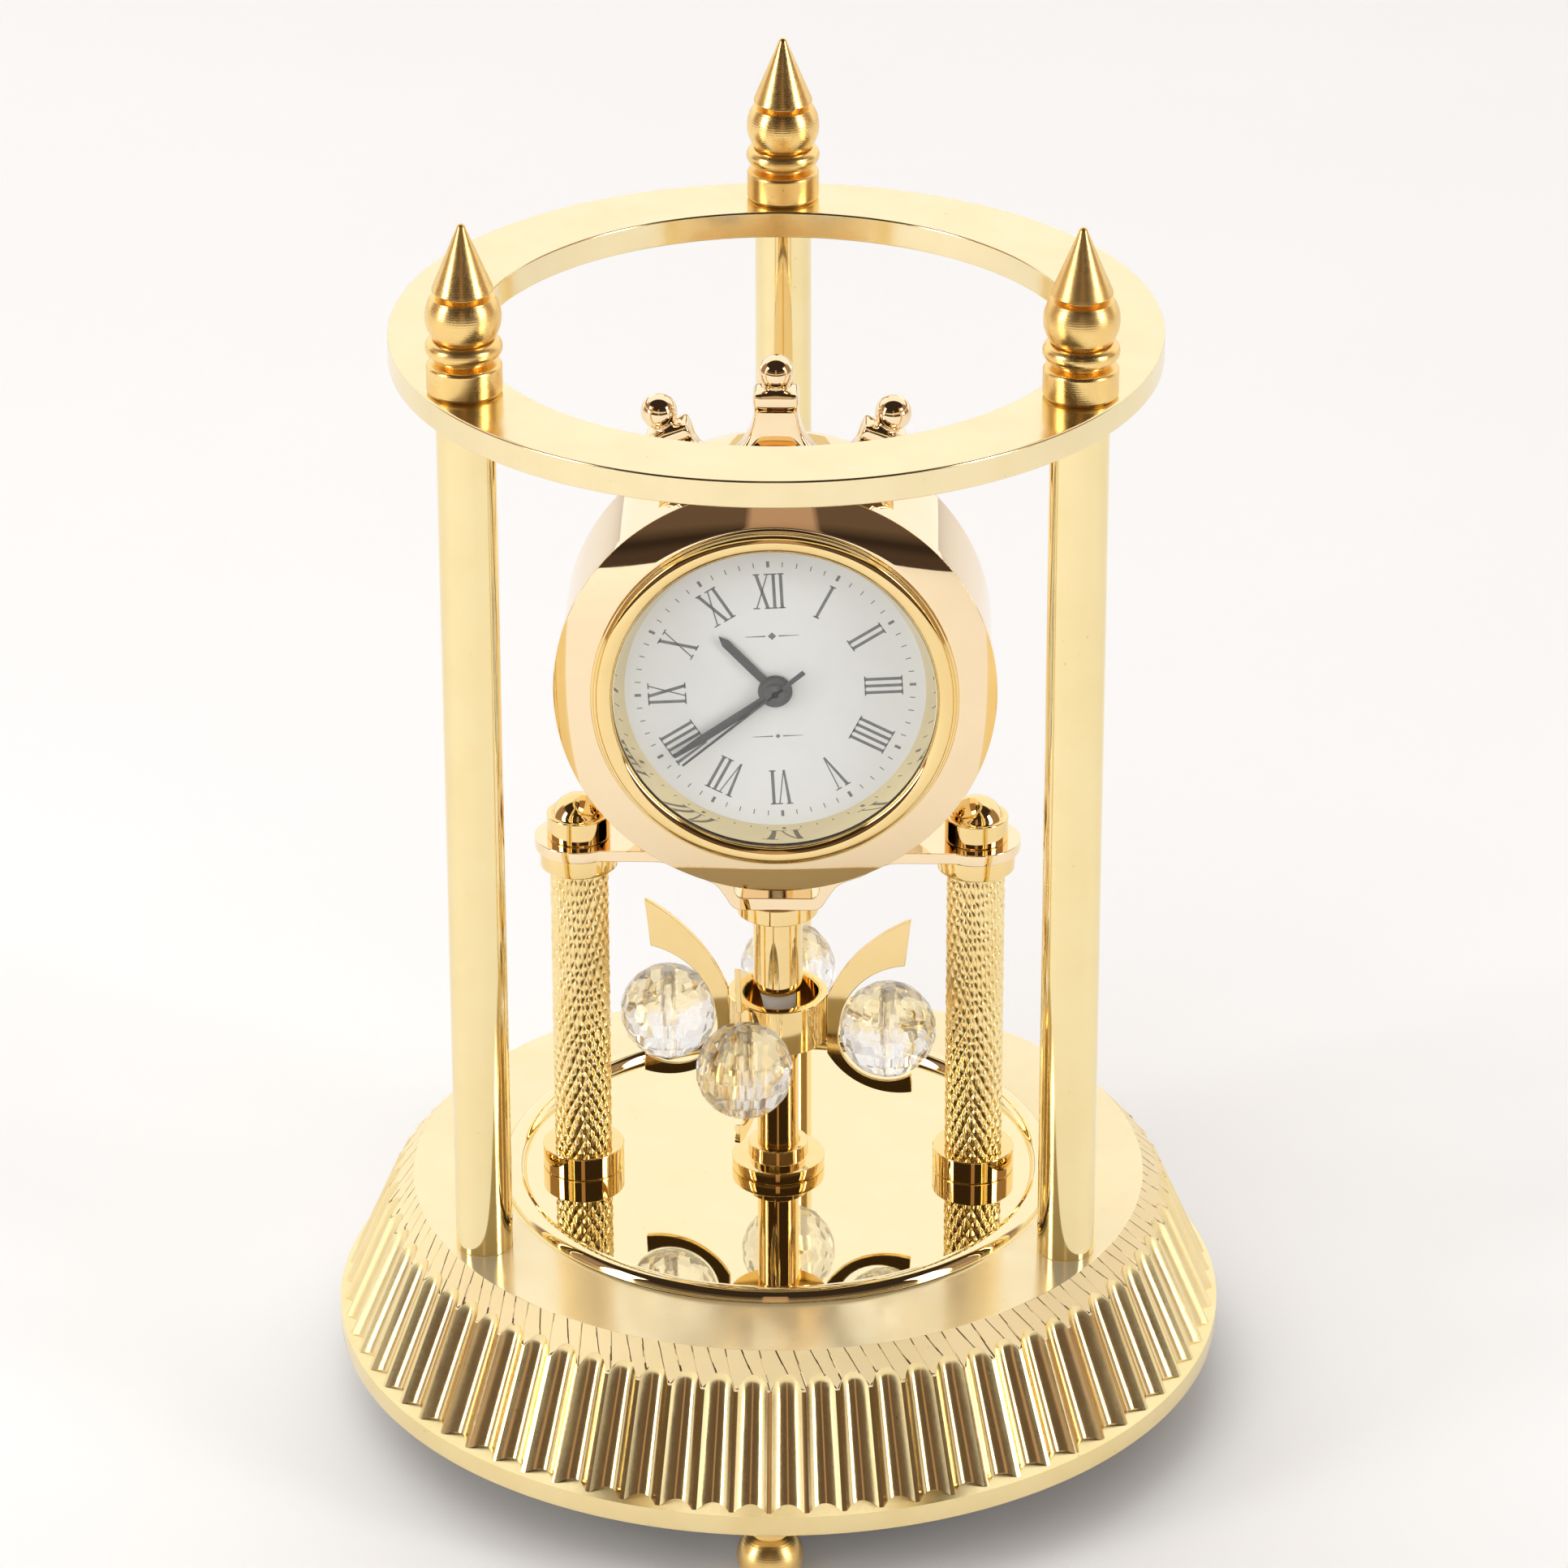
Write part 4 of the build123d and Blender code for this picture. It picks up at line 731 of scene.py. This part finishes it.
def cut_ball(name, centre, radius, turn):
    """A ball cut into flat facets, bored from top to bottom; the facets touch the ball."""
    normals = [(0.0, 0.0, 1.0), (0.0, 0.0, -1.0)]
    for latitude, count, shift in ((0, 20, 0.0), (19, 20, 0.5), (-19, 20, 0.5), (37, 20, 0.0), (-37, 20, 0.0),
                                   (54, 10, 0.25), (-54, 10, 0.25), (71, 10, 0.75), (-71, 10, 0.75)):
        for k in range(count):
            a = 2 * pi * (k + shift) / count + turn
            e = radians(latitude)
            normals.append((cos(e) * cos(a), cos(e) * sin(a), sin(e)))
    hull = bmesh.new()
    for n in normals:
        hull.verts.new(n)
    bmesh.ops.convex_hull(hull, input=hull.verts)
    bmesh.ops.triangulate(hull, faces=hull.faces)
    hull.verts.ensure_lookup_table()
    hull.faces.ensure_lookup_table()
    inner = radius * 0.985
    corners = []
    for face in hull.faces:
        rows = Matrix([v.co for v in face.verts])
        corners.append(rows.inverted() @ Vector((inner, inner, inner)))
    limit = radius * 0.998 * 1.06
    verts = [c if c.length < limit else c * (limit / c.length) for c in corners]
    longest = max(c.length for c in verts)
    verts = [c * min(1.0, radius / longest) for c in verts]
    faces, poles = [], []
    for vert in hull.verts:
        around = [f.index for f in vert.link_faces]
        axis = vert.co.normalized()
        side = axis.orthogonal().normalized()
        other = axis.cross(side)
        around.sort(key=lambda i: atan2((verts[i]).dot(other), (verts[i]).dot(side)))
        if abs(axis.z) > 0.99:
            poles.append(around)
        else:
            faces.append(around)
    hull.free()
    points = [tuple(v) for v in verts]
    rims = []
    for pole in poles:
        height = sum(points[i][2] for i in pole) / len(pole)
        rim = []
        for i in pole:
            a = atan2(points[i][1], points[i][0])
            rim.append(len(points))
            points.append((BORE_R * cos(a), BORE_R * sin(a), height))
        rims.append(rim)
        for k in range(len(pole)):
            m = (k + 1) % len(pole)
            faces.append([pole[k], pole[m], rim[m], rim[k]])
    lower = sorted(rims[1], key=lambda i: atan2(points[i][1], points[i][0]))
    upper = sorted(rims[0], key=lambda i: atan2(points[i][1], points[i][0]))
    for k in range(len(lower)):
        m = (k + 1) % len(lower)
        faces.append([upper[k], upper[m], lower[m], lower[k]])
    moved = [(centre[0] + x, centre[1] + y, centre[2] + z) for x, y, z in points]
    return finish_mesh(name, moved, faces, smooth_angle=1.0, even=False)


for index, side in enumerate(("front", "right", "rear", "left")):
    low, high = low_high("crystal_" + side)
    centre = (low + high) / 2
    ball = cut_ball("crystal_look_" + side, centre, CRYSTAL_R, 0.37 * index)
    place(ball, CRYSTAL, "pendulum", "crystal", "crystal_" + side)

# ------------------------------------------------------------------ head
drum = [(20.6, -8.0), (22.0, -8.0), (22.0, 0.0)] + arc(19.5, 6.5, 2.5, 0, 90, 12) + [(10.0, 9.0), (0.0, 9.0)]
drum += [(0.0, 7.6), (10.0, 7.6)] + arc(19.3, 6.3, 1.3, 90, 0, 8) + [(20.6, 0.0)]
drum_look = lathe("drum_look", drum, 256, [about_dial])
place(drum_look, WARM, "clock", "warm_gold", "head_drum")
bezel = soften(
    [(17.6, -10.3), (INSERT_R + 0.4, -10.3), (BEZEL_R, -9.2), (BEZEL_R, -8.0), (20.55, -8.0), (20.55, -6.5),
     (18.6, -6.5), (18.6, -4.5), (17.6, -4.5)], 0.07, 3
)
place(lathe("bezel_look", bezel, 256, [about_dial]), WARM, "clock", "warm_gold", "head_bezel")
place(cast("crown_look", "crown_crest", 0.15, 80), WARM, "clock", "warm_gold", "crown_crest")
CREST_LOW, CREST_HIGH = low_high("crown_crest")
CREST_BALL = 1.85
crest_y = (CREST_LOW.y + CREST_HIGH.y) / 2
side_lean = radians(23.3)
middle_reach = CREST_HIGH.z - CREST_BALL - HEAD_Z


def leaning_ball(lean, reach):
    """A frame whose height runs outward from the dial centre, at a lean to the right."""
    return lambda r, h, a: (
        (reach + h) * sin(lean) + r * cos(a) * cos(lean), crest_y + r * sin(a),
        HEAD_Z + (reach + h) * cos(lean) - r * cos(a) * sin(lean),
    )


ball_profile = [(0.0, -2.5), (1.35, -2.5), (1.25, -2.1), (1.08, -1.75)]
ball_profile += arc(0, 0, CREST_BALL, -57, 90, 22)[:-1] + [(0.0, CREST_BALL)]
crest_balls = lathe("crown_balls_look", ball_profile, 64, [
    leaning_ball(lean, middle_reach - drop)
    for lean, drop in ((0.0, 0.0), (side_lean, 1.9), (-side_lean, 1.9))
], closed=False)
place(crest_balls, WARM, "clock", "warm_gold")

# ------------------------------------------------------------------ insert clock
rim = [(16.7, -10.3), (INSERT_R - 0.12, -10.3), (INSERT_R, -10.42), (INSERT_R, -10.78)]
rim += [(INSERT_R - 0.1, -10.92), (INSERT_R - 0.24, -10.94), (INSERT_R - 0.30, -11.0)]
rim += [(17.42 + 0.93 * cos(radians(a)), -11.0 - 0.6 * sin(radians(a))) for a in range(0, 181, 12)]
rim += [(16.42, -11.06), (16.46, -11.02), (16.7, -11.02)]
insert_bezel = lathe("insert_bezel_look", rim, 256, [about_dial], smooth_angle=40)
place(insert_bezel, POLISHED, "insert", "warm_gold", "insert_bezel")
lens_profile = [(0.0, -11.10), (8.0, -11.095), (16.0, -11.08), (16.62, -11.07)]
lens_profile += [(16.62, -10.62), (16.0, -10.6), (0.0, -10.6)]
place(lathe("lens_look", lens_profile, 192, [about_dial], closed=False), LENS, "insert", "lens_glass", "lens")
rehaut = [(16.45, -10.55), (16.45, DIAL_Y), (15.28, DIAL_Y), (15.30, DIAL_Y - 0.03)]
rehaut += [(16.28, -10.5), (16.32, -10.55)]
place(lathe("rehaut_look", rehaut, 192, [about_dial]), MIRROR, "insert", "polished_gold", "rehaut_ring")

# printing on the dial: minute track, hour marks and numerals
DIAL_TURN = radians(-3.0)
PRINT_FRONT, PRINT_BACK = DIAL_Y - 0.012, DIAL_Y + 0.01


def on_dial(x, z, turn):
    """A point of an upright glyph, turned clockwise about the dial centre."""
    return (x * cos(turn) + z * sin(turn), HEAD_Z + z * cos(turn) - x * sin(turn))


def stroke(verts, faces, corners, turn):
    prism_data([on_dial(x, z, turn) for x, z in corners], PRINT_FRONT, PRINT_BACK, verts, faces)


NUMERALS = ("XII", "I", "II", "III", "IIII", "V", "VI", "VII", "VIII", "IX", "X", "XI")
NUM_LOW, NUM_HIGH = 9.05, 12.92
SERIF, SERIF_HALF = 0.13, 0.33
WIDTHS = {"I": 0.74, "V": 1.62, "X": 1.68}
THICK = 0.32


def numeral(verts, faces, text, turn):
    total = sum(WIDTHS[c] for c in text)
    x = -total / 2
    low, high = NUM_LOW, NUM_HIGH
    for c in text:
        w = WIDTHS[c]
        left, right = x + 0.14, x + w - 0.14
        mid = x + w / 2
        if c == "I":
            west, east = mid - THICK / 2, mid + THICK / 2
            stroke(verts, faces, [(west, low), (east, low), (east, high), (west, high)], turn)
            ends = [(mid, low), (mid, high)]
        elif c == "V":
            stroke(verts, faces, [(left + 0.08, high), (left + 0.42, high), (mid + 0.10, low),
                                  (mid - 0.10, low)], turn)
            stroke(verts, faces, [(right - 0.13, high), (right, high), (mid + 0.10, low),
                                  (mid - 0.02, low)], turn)
            ends = [(left + 0.22, high), (right - 0.06, high)]
        else:
            stroke(verts, faces, [(left, high), (left + 0.34, high), (right, low), (right - 0.34, low)],
                   turn)
            stroke(verts, faces, [(right - 0.14, high), (right, high), (left + 0.14, low), (left, low)],
                   turn)
            ends = [(left + 0.2, high), (right - 0.1, high), (left + 0.08, low), (right - 0.17, low)]
        for ex, ez in ends:
            z_in, z_out = (ez, ez + SERIF) if ez < (low + high) / 2 else (ez - SERIF, ez)
            stroke(verts, faces, [(ex - SERIF_HALF, z_in), (ex + SERIF_HALF, z_in), (ex + SERIF_HALF, z_out),
                                  (ex - SERIF_HALF, z_out)], turn)
        x += w


print_verts, print_faces = [], []
for minute in range(60):
    turn = DIAL_TURN + radians(6 * minute)
    half, start, end = (0.15, 13.62, 14.28) if minute % 5 == 0 else (0.05, 13.66, 14.2)
    stroke(print_verts, print_faces, [(-half, start), (half, start), (half, end), (-half, end)], turn)
for hour, text in enumerate(NUMERALS):
    numeral(print_verts, print_faces, text, DIAL_TURN + radians(30 * hour))
# a plain ornament where a dial usually carries words
for cx, cz, sx, sz in ((0.0, 6.0, 0.42, 0.42), (0.0, -5.2, 0.26, 0.26)):
    stroke(print_verts, print_faces, [(cx - sx, cz), (cx, cz - sz), (cx + sx, cz), (cx, cz + sz)], DIAL_TURN)
    for direction in (-1, 1):
        inner, outer = direction * (sx + 0.25), direction * (sx + 2.3)
        stroke(print_verts, print_faces, [(inner, cz - 0.07), (inner, cz + 0.07), (outer, cz + 0.02),
                                          (outer, cz - 0.02)], DIAL_TURN)
printing = finish_mesh("dial_print", print_verts, print_faces, 30.0, weld=False)
place(printing, PRINT, "insert", "hand_black")


def hand_mesh(name, outline, angle, y_front, y_back, bosses):
    """A flat hand turned to its angle from twelve, in degrees, with its round boss."""
    verts, faces = [], []
    turn = radians(angle)
    prism_data([on_dial(x, z, turn) for x, z in outline], y_front, y_back, verts, faces)
    for radius, front, back in bosses:
        boss = soften([(0.0, front), (radius, front), (radius, back), (0.0, back)], 0.06, 2, closed=False)
        new_verts, new_faces = lathe_data(boss, 48, about_dial, closed=False)
        faces += [[i + len(verts) for i in face] for face in new_faces]
        verts += new_verts
    return finish_mesh(name, verts, faces, 30.0)


HOUR_ANGLE, MINUTE_ANGLE, SECOND_ANGLE = 316.8, 234.8, 229.4
HAND_THICK = 0.2
hour_outline = [(-0.42, -0.8), (0.42, -0.8), (0.44, 7.3), (0.0, 8.3), (-0.44, 7.3)]
minute_outline = [(-0.42, -0.8), (0.42, -0.8), (0.40, 9.0), (0.18, 12.6), (-0.18, 12.6), (-0.40, 9.0)]
second_outline = [(-0.24, -3.85), (0.24, -3.85), (0.22, -0.9), (0.12, 0.0), (0.09, 12.4), (-0.09, 12.4),
                  (-0.12, 0.0), (-0.22, -0.9)]
hour = hand_mesh("hour_hand_look", hour_outline, HOUR_ANGLE, HOUR_Y, HOUR_Y + HAND_THICK,
                 [(1.75, HOUR_Y - 0.01, HOUR_Y + HAND_THICK)])
place(hour, HAND, "hour", "hand_black", "hour_hand")
minute = hand_mesh("minute_hand_look", minute_outline, MINUTE_ANGLE, MINUTE_Y, MINUTE_Y + HAND_THICK,
                   [(1.58, MINUTE_Y - 0.05, MINUTE_Y + HAND_THICK)])
place(minute, HAND, "minute", "hand_black", "minute_hand")
second = hand_mesh("second_hand_look", second_outline, SECOND_ANGLE, SECOND_Y, SECOND_Y + HAND_THICK,
                   [(1.08, SECOND_Y, SECOND_Y + 0.3)])
place(second, HAND, "second", "hand_black", "second_hand")

# ------------------------------------------------------------------ floor, light, camera
floor_mesh = bpy.data.meshes.new("floor")
FLOOR_SIDE, FLOOR_FRONT, FLOOR_BACK = 1.9, -1.3, 1.9
floor_corners = [(-FLOOR_SIDE, FLOOR_FRONT, 0), (FLOOR_SIDE, FLOOR_FRONT, 0), (FLOOR_SIDE, FLOOR_BACK, 0),
                 (-FLOOR_SIDE, FLOOR_BACK, 0)]
floor_mesh.from_pydata(floor_corners, [], [(0, 1, 2, 3)])
floor = bpy.data.objects.new("floor", floor_mesh)
bpy.context.scene.collection.objects.link(floor)
floor_material = plain("floor_paper", (0.895, 0.897, 0.90), (0.885, 0.886, 0.888), 0.7, scale=60.0,
                       bump_height=0.05)
floor.data.materials.append(floor_material)

world = bpy.data.worlds.new("studio")
bpy.context.scene.world = world
world.use_nodes = True
wn, wl = world.node_tree.nodes, world.node_tree.links
background = wn["Background"]
direction = wn.new("ShaderNodeTexCoord")
axes = wn.new("ShaderNodeSeparateXYZ")
wl.new(direction.outputs["Generated"], axes.inputs[0])


def math(operation, a, b=None, clamp=False):
    node = wn.new("ShaderNodeMath")
    node.operation = operation
    node.use_clamp = clamp
    for socket, value in zip(node.inputs, (a, b)):
        if value is None:
            continue
        if isinstance(value, (int, float)):
            socket.default_value = value
        else:
            wl.new(value, socket)
    return node.outputs[0]


def step_up(value, edge, width):
    """0 below the edge, 1 above it, over a given width."""
    return math("MULTIPLY", math("ADD", math("SUBTRACT", value, edge), width / 2), 1 / width, clamp=True)


SWEEP_LEVEL, BOX_LEVEL, BEYOND_LEVEL, STRIP_LEVEL = 1.02, 7.0, 0.30, 0.34
ROOM_LEVEL, BELOW_LEVEL, GLOW_LEVEL = 0.035, 0.03, 0.09
BOX_FROM, BOX_TO = radians(58), radians(72)
X, Y, Z = axes.outputs["X"], axes.outputs["Y"], axes.outputs["Z"]
# white sweep behind, up to nearly overhead; its edges are at the rear left and right
side = math("ABSOLUTE", X)
heading = math("ARCTAN2", side, math("MULTIPLY", Y, -1.0))
height = math("ARCSINE", Z)
sweep = step_up(math("SUBTRACT", math("MULTIPLY", Y, 0.974), math("MULTIPLY", Z, 0.225)), 0.0, 0.10)
low_side = math("MULTIPLY", math("SUBTRACT", 1.0, step_up(heading, radians(112), 0.1)),
                math("SUBTRACT", 1.0, step_up(height, radians(38), 0.2)))
sweep = math("MULTIPLY", sweep, math("SUBTRACT", 1.0, low_side))
# a soft box each side of the camera, and the dimmer room beyond them
box_mask = math("MULTIPLY", step_up(heading, BOX_FROM, 0.04),
                math("SUBTRACT", 1.0, step_up(heading, BOX_TO, 0.04)))
box_mask = math("MULTIPLY", box_mask, math("SUBTRACT", 1.0, step_up(height, radians(36), 0.05)))
box_mask = math("MULTIPLY", box_mask, step_up(height, radians(1), 0.02))
beyond = math("MULTIPLY", math("MULTIPLY", step_up(heading, BOX_TO, 0.1), low_side), BEYOND_LEVEL)
# the room in front: nearly black above the horizon, a little lighter below it, with one pale upright strip
below = math("SUBTRACT", 1.0, step_up(height, radians(-1), 0.03))
room = math("ADD", math("ADD", ROOM_LEVEL, beyond), math("MULTIPLY", below, BELOW_LEVEL))
strip = math("MULTIPLY", math("SUBTRACT", 1.0, step_up(heading, radians(5), 0.02)),
             step_up(height, radians(-2), 0.03))
strip = math("MULTIPLY", strip, math("SUBTRACT", 1.0, step_up(height, radians(34), 0.1)))
room = math("ADD", room, math("MULTIPLY", strip, STRIP_LEVEL))
# a faint glow low in front, between the soft boxes
front_low = math("MULTIPLY", math("SUBTRACT", 1.0, step_up(height, radians(20), 0.15)),
                 step_up(height, radians(2), 0.05))
front_low = math("MULTIPLY", front_low, math("SUBTRACT", 1.0, step_up(heading, radians(56), 0.1)))
room = math("ADD", room, math("MULTIPLY", front_low, GLOW_LEVEL))
level = math("ADD", math("MULTIPLY", sweep, SWEEP_LEVEL), room)
level = math("MAXIMUM", level, math("MULTIPLY", box_mask, BOX_LEVEL))
white = math("MAXIMUM", sweep, box_mask)
colour = wn.new("ShaderNodeMix")
colour.data_type = "RGBA"
colour.inputs["A"].default_value = (1.0, 0.66, 0.45, 1)
colour.inputs["B"].default_value = (1.0, 0.99, 0.985, 1)
wl.new(white, colour.inputs["Factor"])
# the camera sees a plain pale backdrop from every side
path = wn.new("ShaderNodeLightPath")
seen = wn.new("ShaderNodeMix")
seen.data_type = "RGBA"
wl.new(path.outputs["Is Camera Ray"], seen.inputs["Factor"])
wl.new(colour.outputs["Result"], seen.inputs["A"])
seen.inputs["B"].default_value = (0.95, 0.945, 0.94, 1)
wl.new(seen.outputs["Result"], background.inputs["Color"])
clear = math("SUBTRACT", 1.0, path.outputs["Is Camera Ray"])
strength = math("ADD", math("MULTIPLY", level, clear), path.outputs["Is Camera Ray"])
wl.new(strength, background.inputs["Strength"])

# soft fill for the paper and the dial, kept out of the gold's reflections
for lamp_name, power, size, spot in (("overhead_soft", 8.0, 1.6, (-0.45, 0.15, 1.5)),
                                     ("front_soft", 10.5, 1.5, (-0.35, -1.15, 0.95))):
    lamp_data = bpy.data.lights.new(lamp_name, "AREA")
    lamp_data.energy = power
    lamp_data.size = size
    lamp = bpy.data.objects.new(lamp_name, lamp_data)
    bpy.context.scene.collection.objects.link(lamp)
    lamp.location = spot
    lamp.rotation_euler = (Vector((0, 0, 0.05)) - lamp.location).to_track_quat("-Z", "Y").to_euler()
    lamp.visible_glossy = False
    lamp.visible_transmission = False
    lamp.visible_camera = False

camera_data = bpy.data.cameras.new("camera")
camera = bpy.data.objects.new("camera", camera_data)
bpy.context.scene.collection.objects.link(camera)
ELEVATION, HEADING, ROLL, DISTANCE = radians(26.24), radians(-1.2), radians(-0.12), 0.73356
target = Vector((0.00069, 0.0, 0.06955))
forward = Vector((sin(HEADING) * cos(ELEVATION), cos(HEADING) * cos(ELEVATION), -sin(ELEVATION)))
right = forward.cross(Vector((0, 0, 1))).normalized()
up = right.cross(forward)
rolled_right = right * cos(ROLL) + up * sin(ROLL)
rolled_up = rolled_right.cross(forward)
turn = Matrix((rolled_right, rolled_up, -forward)).transposed().to_4x4()
camera.matrix_world = Matrix.Translation(target - forward * DISTANCE) @ turn
SENSOR, FOCAL_PIXELS, PHOTO_PIXELS = 36.0, 8754.77, 1932
camera_data.sensor_width = SENSOR
camera_data.lens = FOCAL_PIXELS / PHOTO_PIXELS * SENSOR
camera_data.clip_start, camera_data.clip_end = 0.05, 20.0
bpy.context.scene.camera = camera
bpy.context.scene.view_settings.view_transform = "Standard"
bpy.context.scene.view_settings.exposure = 0.12
